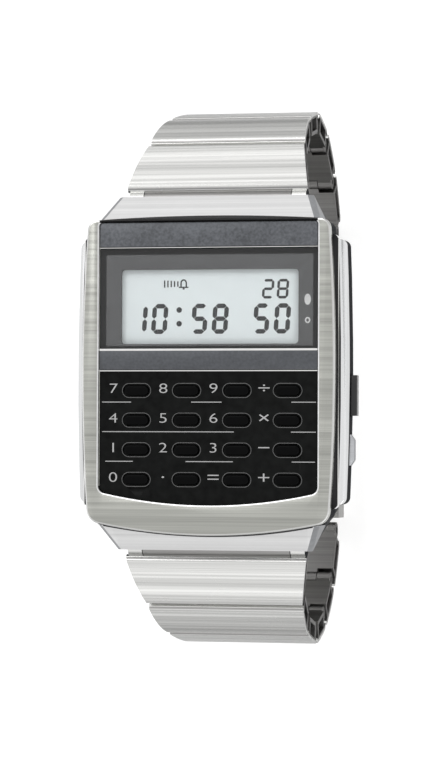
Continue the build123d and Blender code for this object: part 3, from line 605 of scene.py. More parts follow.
class Finishes:
    """All the watch's finishes."""

    cell_margin = (2.41, 1.5)
    cell_shift = -0.15

    def __init__(self, frame: Frame) -> None:
        """Builds each material once. The frame gives the centres of round and recessed ones."""
        cell = frame.centre("lcd_panel")
        half = frame.size("display_window") / 2
        battery = frame.centre("battery")
        back = frame.centre("case_back")
        self.face = BrushedMetal("face_steel", (0.37, 0.373, 0.347), contrast=0.22, roughness=0.34).build()
        self.edge = SmoothMetal("edge_steel", (0.8, 0.8, 0.79), roughness=0.12).build()
        self.plate_edge = SmoothMetal("plate_edge_steel", (0.56, 0.56, 0.55), roughness=0.25).build()
        self.hood = BrushedMetal("hood_steel", (0.68, 0.68, 0.68), Grain.LONG_STREAKS, contrast=0.1).build()
        self.facet = BrushedMetal(
            "facet_steel", (0.45, 0.46, 0.475), Grain.ALONG_X_SHORT, graze=0.5
        ).build()
        self.link = BrushedMetal(
            "link_steel", (0.73, 0.73, 0.715), Grain.LONG_STREAKS,
            roughness=0.26, contrast=0.32, depth=0.014, graze=0.5,
        ).build()
        # Painted shade: a much darker copy of the link steel, standing for the shadow inside the folded
        # links.
        self.fold = BrushedMetal("fold_steel", (0.33, 0.325, 0.32), contrast=0.2, graze=0.3).build()
        self.polished = BrushedMetal(
            "wing_steel", (0.74, 0.745, 0.75), Grain.ALONG_Y, roughness=0.2, contrast=0.08, depth=0.003
        ).build()
        # Painted shade: a much darker copy of the case steel, for hidden faces and wing faces that don't
        # face up.
        self.dark = BrushedMetal(
            "case_steel_painted_shade", (0.12, 0.125, 0.13), Grain.ALONG_Y, roughness=0.36, graze=0.15
        ).build()
        self.black = Moulded("black_wall", (0.012, 0.012, 0.013), roughness=0.4, gloss=0.3).build()
        self.clasp = BrushedMetal(
            "clasp_steel", (0.6, 0.6, 0.585), Grain.ALONG_Y, contrast=0.16, graze=0.5
        ).build()
        self.clasp_inside = BrushedMetal(
            "clasp_inside_steel", (0.42, 0.42, 0.41), Grain.BLASTED, roughness=0.4
        ).build()
        self.back = TurnedMetal("case_back_steel", (0.55, 0.55, 0.54), tuple(back.xy)).build()
        self.battery = TurnedMetal("battery_steel", (0.6, 0.6, 0.61), tuple(battery.xy)).build()
        self.spring = SmoothMetal("spring_steel", (0.66, 0.66, 0.66), roughness=0.2).build()
        self.brass = SmoothMetal("buzzer_brass", (0.7, 0.5, 0.22), roughness=0.24).build()
        self.contact = SmoothMetal("contact_bronze", (0.66, 0.41, 0.2), roughness=0.25).build()
        self.screw = SmoothMetal("screw_steel", (0.62, 0.62, 0.63), roughness=0.22).build()
        self.foil = BrushedMetal("reflector_foil", (0.7, 0.74, 0.74), Grain.BLASTED, roughness=0.45).build()
        self.gunmetal = Moulded(
            "band_gunmetal", (0.112, 0.118, 0.13),
            roughness=0.42, scale=3000.0, contrast=0.3, depth=0.006, metallic=0.35,
        ).build()
        self.band = Moulded(
            "lower_band_paint", (0.085, 0.09, 0.1),
            roughness=0.42, scale=3000.0, contrast=0.16, depth=0.006, metallic=0.35,
        ).build()
        self.surround = Moulded(
            "surround_dark", (0.052, 0.052, 0.055), roughness=0.55, gloss=0.4, scale=3400.0, contrast=0.16
        ).build()
        self.keypad = Moulded(
            "keypad_black", (0.006, 0.0064, 0.0062),
            roughness=0.3, gloss=0.07, scale=900.0, contrast=0.5, depth=0.002,
        ).build()
        self.key = Moulded(
            "key_black", (0.003, 0.0031, 0.0033), roughness=0.3, gloss=0.04, scale=1200.0, depth=0.001
        ).build()
        # Painted highlight: the rims are lighter grey than the black plate, standing for light caught on
        # each recess's edge.
        self.rim = Moulded("key_rim_painted_highlight", (0.11, 0.11, 0.11), roughness=0.35, scale=3000.0, depth=0.002).build()
        self.pusher = Moulded("pusher_black", (0.01, 0.01, 0.011), roughness=0.25, scale=1500.0).build()
        self.ink = Moulded(
            "legend_ink", (0.56, 0.56, 0.56), roughness=0.6, gloss=0.2, scale=4000.0, depth=0.002
        ).build()
        self.segments = Moulded(
            "display_ink", (0.008, 0.009, 0.011), roughness=0.6, gloss=0.2, scale=4000.0, depth=0.001
        ).build()
        self.rubber = Moulded(
            "black_rubber", (0.018, 0.018, 0.018), roughness=0.75, gloss=0.3, contrast=0.12, depth=0.01
        ).build()
        self.membrane = Moulded(
            "membrane_rubber", (0.1, 0.1, 0.11), roughness=0.7, gloss=0.3, scale=1500.0, depth=0.008
        ).build()
        self.plastic = Moulded(
            "module_plastic", (0.58, 0.58, 0.54), gloss=0.4, scale=1500.0, contrast=0.05, depth=0.006
        ).build()
        self.chip = Moulded(
            "component_black", (0.014, 0.014, 0.015), gloss=0.4, contrast=0.1, depth=0.006
        ).build()
        self.board = PrintedBoard("board_green").build()
        self.window = ClearWindow("clear_window").build()
        margin = Vector(self.cell_margin) * MM
        pane = (cell.x + self.cell_shift * MM, cell.y)
        reach = (half.x - margin.x, half.y - margin.y)
        self.cell = DisplayCell("display_cell", (0.7, 0.745, 0.755), pane, reach).build()


def link_object(name: str, mesh: bpy.types.Mesh) -> bpy.types.Object:
    """A new object of the scene that shows a mesh."""
    piece = bpy.data.objects.new(name, mesh)
    bpy.context.scene.collection.objects.link(piece)
    return piece


def smooth(mesh: bpy.types.Mesh) -> None:
    """Shades a mesh smooth, with creases where it bends sharply."""
    mesh.shade_smooth()
    mesh.set_sharp_from_angle(angle=math.radians(CREASE_DEGREES))


def mesh_from(
    name: str, build: Callable[[bmesh.types.BMesh], None], *finishes: bpy.types.Material
) -> bpy.types.Object:
    """A piece whose mesh a function builds.

    Args:
        name: the piece's name.
        build: puts the shape into an empty bmesh.
        finishes: the piece's materials.

    Returns:
        The piece.
    """
    mesh = bpy.data.meshes.new(name)
    shape = bmesh.new()
    build(shape)
    shape.to_mesh(mesh)
    shape.free()
    for finish in finishes:
        mesh.materials.append(finish)
    return link_object(name, mesh)


def prism(shape: bmesh.types.BMesh, outline: Outline, low: float, high: float) -> None:
    """Adds a straight prism over an outline that goes round anticlockwise, all in metres."""
    lower = [shape.verts.new((x, y, low)) for x, y in outline]
    upper = [shape.verts.new((x, y, high)) for x, y in outline]
    shape.faces.new(upper)
    shape.faces.new(lower[::-1])
    for first in range(len(outline)):
        second = (first + 1) % len(outline)
        shape.faces.new((lower[first], lower[second], upper[second], upper[first]))


def oval(centre: tuple[float, float], half_x: float, half_y: float, points: int = 28) -> Outline:
    """Outline of an oval."""
    turns = [math.tau * step / points for step in range(points)]
    return [(centre[0] + half_x * math.cos(turn), centre[1] + half_y * math.sin(turn)) for turn in turns]


def bar(left: float, right: float, low: float, high: float) -> Outline:
    """Outline of a rectangle."""
    return [(left, low), (right, low), (right, high), (left, high)]


def softened_copy(
    frame: Frame, node: str, width: float, wants: Callable | None = None, segments: int = 2
) -> bpy.types.Object:
    """A copy of a CAD node with its sharp edges rounded, which stands for the node and rides on its body.

    Args:
        frame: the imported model.
        node: the node's name.
        width: how far the rounding reaches on each side of an edge, in millimetres.
        wants: says of an edge whether it is rounded, and leaves every sharp edge in where it is None.
        segments: faces across a rounded edge.

    Returns:
        The copy, with no material yet.
    """
    mesh = frame.nodes[node].data.copy()
    mesh.materials.clear()
    shape = bmesh.new()
    shape.from_mesh(mesh)
    bmesh.ops.remove_doubles(shape, verts=shape.verts, dist=MERGE_DISTANCE * MM)
    flat = math.radians(FLAT_DEGREES)
    bmesh.ops.dissolve_limit(shape, angle_limit=flat, verts=shape.verts, edges=shape.edges)
    bend = math.radians(SHARP_DEGREES)
    folds = [edge for edge in shape.edges if len(edge.link_faces) == 2 and edge.calc_face_angle(0.0) > bend]
    sharp = [edge for edge in folds if wants is None or wants(edge)]
    if width:
        bmesh.ops.bevel(
            shape, geom=sharp, offset=width * MM, segments=segments,
            profile=ROUND_PROFILE, affect="EDGES", clamp_overlap=True,
        )
    shape.to_mesh(mesh)
    shape.free()
    smooth(mesh)
    piece = link_object(f"{node}_dressed", mesh)
    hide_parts(node)
    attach(piece, frame.body(node))
    return piece


def dress(piece: bpy.types.Object, *finishes: bpy.types.Material) -> None:
    """Gives a piece or a CAD node its materials."""
    if "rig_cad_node" in piece:
        for slot in piece.material_slots:
            slot.material = finishes[0]
        if not piece.material_slots:
            piece.data.materials.append(finishes[0])
        return
    piece.data.materials.clear()
    for finish in finishes:
        piece.data.materials.append(finish)


def sort_faces(
    piece: bpy.types.Object, choose: Callable[[Vector, Vector], bpy.types.Material]
) -> None:
    """Gives each face the one of the piece's finishes that a function picks from its centre and normal."""
    finishes = piece.data.materials
    for face in piece.data.polygons:
        face.material_index = finishes.find(choose(face.center, face.normal).name)


def evaluated_mesh(holder: bpy.types.Object) -> bpy.types.Mesh:
    """Plain mesh of an object as its modifiers or its text leave it. The object is taken away."""
    graph = bpy.context.evaluated_depsgraph_get()
    mesh = bpy.data.meshes.new_from_object(holder.evaluated_get(graph))
    bpy.data.objects.remove(holder)
    return mesh


class ShapeTree:
    """A Geometry Nodes tree that makes a piece, with its sizes as named inputs."""

    def __init__(self, name: str, sizes: dict[str, str]) -> None:
        """Starts the tree.

        Args:
            name: the tree's name.
            sizes: names of the inputs and their socket types.
        """
        sockets = {"Geometry": "Geometry", **sizes, "Finish": "Material"}
        results = {"Geometry": "Geometry"}
        self.writer, self.given, self.made = new_group("GeometryNodeTree", name, sockets, results)
        self.tree = self.writer.tree

    def size(self, name: str) -> bpy.types.NodeSocket:
        """A named input of the tree."""
        return self.given.outputs[name]

    def end(self, geometry: bpy.types.NodeSocket) -> None:
        """Ends the tree with real meshes and their finish."""
        real = self.writer.add("GeometryNodeRealizeInstances", {0: geometry})
        inputs = {"Geometry": real.outputs[0], "Material": self.size("Finish")}
        dressed = self.writer.add("GeometryNodeSetMaterial", inputs)
        self.tree.links.new(dressed.outputs[0], self.made.inputs[0])

    def piece(
        self, name: str, sizes: dict[str, object], finish: bpy.types.Material, place: Matrix
    ) -> bpy.types.Object:
        """Makes one piece with the tree.

        Args:
            name: the piece's name.
            sizes: values of the named inputs.
            finish: its material.
            place: moves it from the tree's own axes to its place on the watch.

        Returns:
            The piece as a plain mesh, in place.
        """
        holder = link_object(f"{name}_holder", bpy.data.meshes.new(f"{name}_holder"))
        modifier = holder.modifiers.new(self.tree.name, "NODES")
        modifier.node_group = self.tree
        inputs = [item for item in self.tree.interface.items_tree if item.in_out == "INPUT"]
        named = {item.name: item.identifier for item in inputs}
        for size, value in {**sizes, "Finish": finish}.items():
            modifier[named[size]] = value
        mesh = evaluated_mesh(holder)
        mesh.name = name
        mesh.transform(place)
        mesh.materials.clear()
        mesh.materials.append(finish)
        smooth(mesh)
        return link_object(name, mesh)


def key_cap_tree() -> ShapeTree:
    """Pill-shaped cap: a drum pulled apart at its middle, with a rounded rim and a slight crown.

    Returns:
        The tree, whose cap stands on its own base with its length along X.
    """
    names = ("Length", "Width", "Height", "Rim", "Crown")
    top_share, middle_width = 0.98, 1e-6
    shape = ShapeTree("Key cap", {name: "Float" for name in names})
    writer = shape.writer
    length, width, height, rim, crown = (shape.size(name) for name in names)
    radius = writer.times(width, 0.5)
    drum = writer.add("GeometryNodeMeshCylinder", {
        "Vertices": 40,
        "Side Segments": 10,
        "Fill Segments": 4,
        "Radius": radius,
        "Depth": height,
    }, fill_type="TRIANGLE_FAN")
    raised = writer.joined(z=writer.times(height, 0.5))
    lifted = writer.add("GeometryNodeSetPosition", {"Geometry": drum.outputs["Mesh"], "Offset": raised})
    across, along, up = writer.position()
    rim_low = writer.minus(height, rim)
    climb = writer.math("MAXIMUM", writer.over(writer.minus(up, rim_low), rim), 0.0)
    shrink = writer.over(writer.minus(radius, writer.rounding(rim, climb)), radius)
    reach = writer.over(writer.length(writer.joined(across, along)), radius)
    dome = writer.times(crown, writer.minus(1.0, writer.times(reach, reach)))
    top = writer.math("GREATER_THAN", up, writer.times(height, top_share))
    side = writer.math("SIGN", writer.math("SNAP", across, middle_width))
    spread = writer.times(side, writer.times(writer.minus(length, width), 0.5))
    moved = writer.joined(
        writer.plus(writer.times(across, shrink), spread),
        writer.times(along, shrink),
        writer.plus(up, writer.times(dome, top)),
    )
    pulled = writer.add("GeometryNodeSetPosition", {"Geometry": lifted.outputs[0], "Position": moved})
    shape.end(pulled.outputs[0])
    return shape


def rim_grid_tree() -> ShapeTree:
    """Thin pill-shaped rims set out on a grid, one round each key.

    Returns:
        The tree, whose grid is centred on its own origin.
    """
    corner_share = 0.499
    sizes = {name: "Float" for name in ("Column Pitch", "Row Pitch", "Length", "Width", "Wire")}
    shape = ShapeTree("Key rims", {"Columns": "Int", "Rows": "Int", **sizes})
    writer = shape.writer
    spans = [
        writer.times(shape.size(f"{way} Pitch"), writer.minus(shape.size(f"{way}s"), 1.0))
        for way in ("Column", "Row")
    ]
    grid = writer.add("GeometryNodeMeshGrid", {
        "Size X": spans[0],
        "Size Y": spans[1],
        "Vertices X": shape.size("Columns"),
        "Vertices Y": shape.size("Rows"),
    })
    box = writer.add("GeometryNodeCurvePrimitiveQuadrilateral", {
        "Width": shape.size("Length"),
        "Height": shape.size("Width"),
    })
    corner = writer.times(shape.size("Width"), corner_share)
    rounding = {"Curve": box.outputs[0], "Radius": corner, "Count": 9}
    pill = writer.add("GeometryNodeFilletCurve", rounding, mode="POLY")
    round_wire = {"Resolution": 8, "Radius": writer.times(shape.size("Wire"), 0.5)}
    wire = writer.add("GeometryNodeCurvePrimitiveCircle", round_wire)
    swept = {"Curve": pill.outputs[0], "Profile Curve": wire.outputs[0]}
    rim = writer.add("GeometryNodeCurveToMesh", swept)
    placed = writer.add("GeometryNodeInstanceOnPoints", {
        "Points": grid.outputs["Mesh"],
        "Instance": rim.outputs[0],
    })
    shape.end(placed.outputs[0])
    return shape


def link_plate_tree() -> ShapeTree:
    """Outer plate of a bracelet link, crowned, with rolled ends, and narrower at its far end.

    Returns:
        The tree. X is across the bracelet, Y runs from the link's first pivot, and Z points
        out of the loop.
    """
    names = ("Near Half Width", "Far Half Width", "Start", "End", "Height", "Sheet", "Crown", "Roll")
    shape = ShapeTree("Link plate", {name: "Float" for name in names})
    writer = shape.writer
    near_half, far_half, start, end, height, sheet, crown, roll = (shape.size(name) for name in names)
    unit = {"Size X": 2.0, "Size Y": 1.0, "Vertices X": 13, "Vertices Y": 33}
    flat = writer.add("GeometryNodeMeshGrid", unit)
    across, along, _ = writer.position()
    length = writer.minus(end, start)
    share = writer.plus(along, 0.5)
    place = writer.plus(start, writer.times(share, length))
    half = writer.plus(near_half, writer.times(share, writer.minus(far_half, near_half)))
    bow = writer.minus(1.0, writer.times(writer.times(along, along), 4.0))
    room = writer.times(writer.minus(0.5, writer.math("ABSOLUTE", along)), length)
    climb = writer.minus(1.0, writer.math("MINIMUM", writer.over(room, roll), 1.0))
    crowned = writer.plus(height, writer.times(bow, crown))
    level = writer.minus(crowned, writer.rounding(roll, climb))
    moved = writer.joined(writer.times(across, half), place, level)
    outer = writer.add("GeometryNodeSetPosition", {"Geometry": flat.outputs["Mesh"], "Position": moved})
    flipped = writer.add("GeometryNodeFlipFaces", {0: outer.outputs[0]})
    walled = writer.add("GeometryNodeExtrudeMesh", {
        "Mesh": flipped.outputs[0],
        "Offset": writer.joined(z=writer.times(sheet, -1.0)),
        "Offset Scale": 1.0,
        "Individual": False,
    })
    both = writer.add("GeometryNodeJoinGeometry")
    writer.tree.links.new(outer.outputs[0], both.inputs[0])
    writer.tree.links.new(walled.outputs[0], both.inputs[0])
    merging = {"Geometry": both.outputs[0], "Distance": MERGE_DISTANCE * MM}
    closed = writer.add("GeometryNodeMergeByDistance", merging)
    shape.end(closed.outputs[0])
    return shape


@dataclass
class CaseTop:
    """Face plate, hoods and middle case, with black strips of painted shade in the seams between them.

    Touch is how near a level counts as on it. The shares are how far a face's normal leans to an axis.
    """

    frame: Frame
    finishes: Finishes
    touch: float = 0.02
    near: float = 0.05
    edge_width: float = 0.24
    level_share: float = 0.93
    wall_share: float = 0.1
    facet_width: float = 0.75
    facet_from: float = 10.0
    slanted_rise: float = 0.5
    facet_lean_share: float = 0.25
    slope_share: float = 0.2
    upward_share: float = 0.5
    wall_inset: float = 0.3
    ear_drop: float = 2.0
    step_lip: float = 0.1
    step_depth: float = 1.9
    wing_depth: float = 3.2
    wing_thickness: float = 2.5
    dial_half: float = 13.76
    hood_drop: float = 0.25
    hood_start: float = 18.85
    hood_slope: float = 1.222
    seam_skin: float = 0.03
    seam_half: float = 13.2
    upper_seam_rise: float = 0.42
    belly_radius: float = 68.8
    lower_seam_width: float = 0.2
    seam_steps: int = 24
    step_line: float = 0.12
    step_line_out: float = 0.2
    step_line_inset: float = 3.0
    step_line_depth: float = 0.1
    ear_reach: float = 0.85

    def build(self) -> list[bpy.types.Object]:
        """The dressed pieces."""
        hoods = [self.hood("upper_hood"), self.hood("lower_hood")]
        solids = [self.plate(), *hoods, self.middle()]
        return [*solids, self.upper_seam_shade(), self.lower_seam_shade(), self.step_lines()]

    def plate(self) -> bpy.types.Object:
        """The brushed plate round the dial, with bright edges and a dark bar above the upper band."""
        top = self.frame.high("face_plate").z
        bar_low = self.frame.high("upper_band").y
        touch = self.touch * MM
        dial_half = self.dial_half * MM
        bevel = 2 * self.edge_width * MM
        inner = dial_half + bevel
        inner_low = self.frame.low("keypad_plate").y - bevel
        looks = self.finishes

        def on_top(edge: bmesh.types.BMEdge) -> bool:
            """Whether an edge lies in the plate's top."""
            return all(abs(vert.co.z - top) < touch for vert in edge.verts)

        def choose(centre: Vector, normal: Vector) -> bpy.types.Material:
            """A face's finish."""
            if centre.y > bar_low - touch and abs(centre.x) < dial_half:
                return looks.black
            if abs(normal.z) > self.level_share or abs(normal.z) < self.wall_share:
                return looks.face
            return looks.hood if abs(centre.x) < inner and centre.y > inner_low else looks.plate_edge

        piece = softened_copy(self.frame, "face_plate", self.edge_width, on_top)
        shape = bmesh.new()
        shape.from_mesh(piece.data)
        cuts = (
            ((0, bar_low, 0), (0, 1, 0)),
            ((dial_half, 0, 0), (1, 0, 0)),
            ((-dial_half, 0, 0), (1, 0, 0)),
        )
        for place, direction in cuts:
            parts = [*shape.verts, *shape.edges, *shape.faces]
            bmesh.ops.bisect_plane(shape, geom=parts, plane_co=place, plane_no=direction)
        shape.to_mesh(piece.data)
        shape.free()
        dress(piece, looks.face, looks.plate_edge, looks.black, looks.hood)
        sort_faces(piece, choose)
        return piece

    def hood(self, node: str) -> bpy.types.Object:
        """A sloping end piece: bright on its slope, greyer on its side facets."""
        reach, rise = self.facet_from * MM, self.slanted_rise * MM

        def on_side(edge: bmesh.types.BMEdge) -> bool:
            """Whether an edge runs between the slope and a side."""
            first, last = (vert.co for vert in edge.verts)
            slanted = abs(first.z - last.z) > rise and abs(first.y - last.y) > rise
            return slanted and abs(first.x + last.x) / 2 > reach

        piece = softened_copy(self.frame, node, self.facet_width, on_side, segments=1)
        dress(piece, self.finishes.hood, self.finishes.facet)
        sort_faces(piece, self.hood_finish)
        return piece

    def hood_finish(self, centre: Vector, normal: Vector) -> bpy.types.Material:
        """A hood face's finish."""
        on_side = abs(normal.x) > self.facet_lean_share or normal.z < self.slope_share
        return self.finishes.facet if on_side else self.finishes.hood

    def middle(self) -> bpy.types.Object:
        """The middle case: polished wings, a black wall inside them, brushed ends, and painted shade, a
        much darker copy of its steel, on its hidden faces and the wing faces that don't face up.
        """
        piece = softened_copy(self.frame, "mid_case", 0.0)
        looks = self.finishes
        dress(piece, looks.dark, looks.polished, looks.black, looks.link)
        ears = self.frame.high("upper_hood").y - self.ear_reach * MM
        wall = self.frame.high("face_plate").x - self.wall_inset * MM
        face = self.frame.high("face_plate").z
        near = self.near * MM
        wing_top = face - self.wing_depth * MM
        wing_low = wing_top - self.wing_thickness * MM
        ear_top = wing_top - self.ear_drop * MM
        step_top = face - (self.step_depth - self.step_lip) * MM

        def choose(centre: Vector, normal: Vector) -> bpy.types.Material:
            """A face's finish."""
            if abs(centre.y) > ears and centre.z < ear_top and normal.z > self.wall_share:
                return looks.link
            # Painted shade: hidden inner faces, faces below the wings and wing faces that don't face up
            # take the darker steel copy.
            if abs(centre.x) < wall or centre.z < wing_low - near:
                return looks.dark
            upward = normal.z > self.upward_share
            if centre.z > wing_top + near:
                return looks.black if upward or centre.z > step_top else looks.polished
            return looks.polished if upward else looks.dark

        sort_faces(piece, choose)
        return piece

    def seam(self, name: str, outline: Outline, body: str) -> bpy.types.Object:
        """A thin black strip of painted shade that lies on a hood's slope over an outline in metres."""
        flat = self.frame.high("face_plate").z - self.hood_drop * MM

        def shape(mesh: bmesh.types.BMesh) -> None:
            """Adds the strip and lays it on the slope."""
            prism(mesh, outline, -2 * self.seam_skin * MM, self.seam_skin * MM)
            for vert in mesh.verts:
                vert.co.z += flat - max(abs(vert.co.y) - self.hood_start * MM, 0.0) * self.hood_slope

        # Painted shade: a black strip laid where the gap between hood and plate lies in shadow.
        piece = mesh_from(name, shape, self.finishes.black)
        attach(piece, self.frame.body(body))
        return piece

    def seam_places(self) -> list[float]:
        """Places along a seam from right to left, in metres."""
        half, steps = self.seam_half * MM, self.seam_steps
        return [half * (1 - 2 * step / steps) for step in range(steps + 1)]

    def upper_seam_shade(self) -> bpy.types.Object:
        """Painted shade in the seam between the upper hood and the plate, thicker in its middle."""
        half, rise = self.seam_half * MM, self.upper_seam_rise * MM
        foot = max(self.frame.low("upper_hood").y, self.hood_start * MM)
        arc = [(x, foot + rise * (1 - (x / half) ** 2)) for x in self.seam_places()[1:-1]]
        return self.seam("upper_seam_shade", [(-half, foot), (half, foot), *arc], "upper_hood")

    def lower_seam_shade(self) -> bpy.types.Object:
        """Painted shade that follows the plate's belly on the lower hood."""
        radius = self.belly_radius * MM
        lowest = self.frame.low("face_plate").y
        near = [(x, lowest + radius - math.sqrt(radius**2 - x**2)) for x in self.seam_places()]
        far = [(x, y - self.lower_seam_width * MM) for x, y in near]
        return self.seam("lower_seam_shade", [*near, *far[::-1]], "lower_hood")

    def step_lines(self) -> bpy.types.Object:
        """Thin bright line along the black step on each side of the plate."""
        step = self.frame.high("face_plate").z - self.step_depth * MM
        low, high = step - self.step_line_depth * MM, step + self.touch * MM
        reach = self.frame.high("face_plate").x + self.step_line_out * MM
        half_length = self.frame.size("face_plate").y / 2 - self.step_line_inset * MM
        width = self.step_line * MM

        def shape(mesh: bmesh.types.BMesh) -> None:
            """Adds both lines."""
            for left in (-reach, reach - width):
                prism(mesh, bar(left, left + width, -half_length, half_length), low, high)

        piece = mesh_from("step_lines", shape, self.finishes.edge)
        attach(piece, self.frame.body("mid_case"))
        return piece


@dataclass
class DialBands:
    """The two dark bands and the thin bright lips between the dial's pieces."""

    frame: Frame
    finishes: Finishes
    edge_width: float = 0.05
    lip_depth: float = 0.4
    window_lip_share: float = 0.3
    keypad_lip_share: float = 0.45

    def build(self) -> list[bpy.types.Object]:
        """The dressed pieces."""
        upper = self.band("upper_band", self.finishes.gunmetal)
        lower = self.band("lower_band", self.finishes.band)
        return [upper, lower, self.lips()]

    def band(self, node: str, finish: bpy.types.Material) -> bpy.types.Object:
        """One band."""
        piece = softened_copy(self.frame, node, self.edge_width)
        dress(piece, finish)
        return piece

    def lips(self) -> bpy.types.Object:
        """Bright lips in the gaps above the display, below it and above the keypad."""
        left, right = self.frame.low("lower_band").x, self.frame.high("lower_band").x
        top = self.frame.high("lower_band").z
        spans = (
            ("display_surround", "upper_band", self.window_lip_share),
            ("lower_band", "display_surround", 1.0),
            ("keypad_plate", "lower_band", self.keypad_lip_share),
        )

        def shape(mesh: bmesh.types.BMesh) -> None:
            """Adds a bar in each gap."""
            for below, above, share in spans:
                low, high = self.frame.high(below).y, self.frame.low(above).y
                middle, half = (low + high) / 2, (high - low) / 2 * share
                prism(mesh, bar(left, right, middle - half, middle + half), top - self.lip_depth * MM, top)

        piece = mesh_from("dial_lips", shape, self.finishes.edge)
        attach(piece, self.frame.body("lower_band"))
        return piece


class Segments(Enum):
    """The lit parts of each digit, named a to g from the top bar round to the middle one."""

    ZERO = "abcdef"
    ONE = "bc"
    TWO = "abged"
    THREE = "abgcd"
    FOUR = "fgbc"
    FIVE = "afgcd"
    SIX = "afgedc"
    SEVEN = "abc"
    EIGHT = "abcdefg"
    NINE = "abcdfg"


DIGITS = list(Segments)


@dataclass
class Display:
    """Window, surround and liquid crystal cell with the time on it."""

    frame: Frame
    finishes: Finishes
    digit_height: float = 3.72
    digit_width: float = 2.0
    stroke: float = 0.56
    stroke_gap_share: float = 0.05
    small_height: float = 2.4
    small_width: float = 1.45
    small_stroke: float = 0.32
    slant: float = 0.07
    ink_height: float = 0.012
    time_row: float = -2.45
    small_row: float = 0.0
    time_places: tuple = ((1, -10.15), (0, -7.55), (5, -2.5), (8, 0.12), (5, 5.3), (0, 7.92))
    small_places: tuple = ((2, 6.45), (8, 8.3))
    colon_place: float = -3.95
    colon_rows: tuple = (1.1, -0.6)
    colon_share: float = 0.62
    signal_place: float = -5.9
    signal_row: float = 1.87
    signal_bars: int = 5
    signal_pitch: float = 0.42
    signal_width: float = 0.17
    signal_half: float = 0.3
    signal_growth: float = 0.03
    bell_gap: float = 0.4
    bell_outer: tuple = (0.42, 0.46)
    bell_inner: tuple = (0.24, 0.28)
    bell_shoulder: float = 0.12
    bell_foot: float = -0.34
    bell_steps: int = 12
    brim_half: float = 0.62
    brim_width: float = 0.16
    clapper: tuple = (0.16, 0.1)
    clapper_drop: float = 0.26
    marker_place: float = 12.35
    dot_row: float = -0.15
    dot_half: tuple = (0.4, 0.68)
    ring_row: float = -2.7
    ring_outer: tuple = (0.34, 0.38)
    ring_inner: tuple = (0.17, 0.2)
    surround_edge: float = 0.04

    def build(self) -> list[bpy.types.Object]:
        """The dressed pieces."""
        dress(self.frame.nodes["display_window"], self.finishes.window)
        dress(self.frame.nodes["lcd_panel"], self.finishes.cell)
        surround = softened_copy(self.frame, "display_surround", self.surround_edge)
        dress(surround, self.finishes.surround)
        return [surround, self.digits(), self.signals(), self.markers()]

    def origin(self) -> Vector:
        """Middle of the cell's face."""
        centre = self.frame.centre("display_window")
        return Vector((centre.x, centre.y, self.frame.high("lcd_panel").z))

    def stroke_outline(self, start: Vector, end: Vector, stroke: float) -> Outline:
        """Six-sided outline of one lit bar, in millimetres."""
        along = (end - start).normalized()
        side = Vector((-along.y, along.x))
        half, gap = stroke / 2, stroke * self.stroke_gap_share
        first, last = start + along * gap, end - along * gap
        points = (
            first, first + (along - side) * half, last - (along + side) * half,
            last, last - (along - side) * half, first + (along + side) * half,
        )
        return [tuple(point) for point in points]

    def digit(
        self, number: int, place: tuple[float, float], size: tuple[float, float], stroke: float
    ) -> list[Outline]:
        """Outlines of a digit's lit bars, in millimetres from the cell's middle.

        Args:
            number: the digit.
            place: its left and lower edge.
            size: its width and height.
            stroke: width of its bars.

        Returns:
            One outline for each lit bar.
        """
        left, low = place
        width, height = size
        half = stroke / 2
        x0, x1 = left + half, left + width - half
        y0, y1, y2 = low + half, low + height / 2, low + height - half
        ends = {
            "a": ((x0, y2), (x1, y2)),
            "b": ((x1, y1), (x1, y2)),
            "c": ((x1, y0), (x1, y1)),
            "d": ((x0, y0), (x1, y0)),
            "e": ((x0, y0), (x0, y1)),
            "f": ((x0, y1), (x0, y2)),
            "g": ((x0, y1), (x1, y1)),
        }
        outlines = [self.stroke_outline(*map(Vector, ends[name]), stroke) for name in DIGITS[number].value]
        return [[(x + (y - low) * self.slant, y) for x, y in outline] for outline in outlines]

    def digits(self) -> bpy.types.Object:
        """The time, the seconds and the small pair above them."""
        outlines = []
        low = self.time_row - self.digit_height / 2
        large, small = (self.digit_width, self.digit_height), (self.small_width, self.small_height)
        for number, left in self.time_places:
            outlines += self.digit(number, (left, low), large, self.stroke)
        for number, left in self.small_places:
            outlines += self.digit(number, (left, self.small_row), small, self.small_stroke)
        dot = self.stroke * self.colon_share
        outlines += [oval((self.colon_place, self.time_row + row), dot, dot) for row in self.colon_rows]
        return self.inked("display_digits", outlines)

    def signals(self) -> bpy.types.Object:
        """A row of sound bars and a small bell."""
        outlines = []
        row = self.signal_row
        for count in range(self.signal_bars):
            x = self.signal_place + count * self.signal_pitch
            tall = self.signal_half + self.signal_growth * (self.signal_bars - count)
            outlines.append(bar(x, x + self.signal_width, row - tall, row + tall))
        bell = self.signal_place + self.signal_bars * self.signal_pitch + self.bell_gap
        turns = [math.pi * step / self.bell_steps for step in range(self.bell_steps + 1)]
        low, shoulder = row + self.bell_foot, row + self.bell_shoulder
        (wide, tall), (narrow, short) = self.bell_outer, self.bell_inner
        outer = [(bell + wide * math.cos(turn), shoulder + tall * math.sin(turn)) for turn in turns]
        inner = [(bell - narrow * math.cos(turn), shoulder + short * math.sin(turn)) for turn in turns]
        left_foot = [(bell - wide, low), (bell - narrow, low)]
        right_foot = [(bell + narrow, low), (bell + wide, low)]
        outlines.append([*outer, *left_foot, *inner, *right_foot])
        outlines.append(bar(bell - self.brim_half, bell + self.brim_half, low - self.brim_width, low))
        outlines.append(oval((bell, low - self.clapper_drop), *self.clapper, self.bell_steps))
        return self.inked("display_signals", outlines)

    def inked(self, name: str, outlines: list[Outline]) -> bpy.types.Object:
        """A dark piece printed on the cell."""
        origin = self.origin()

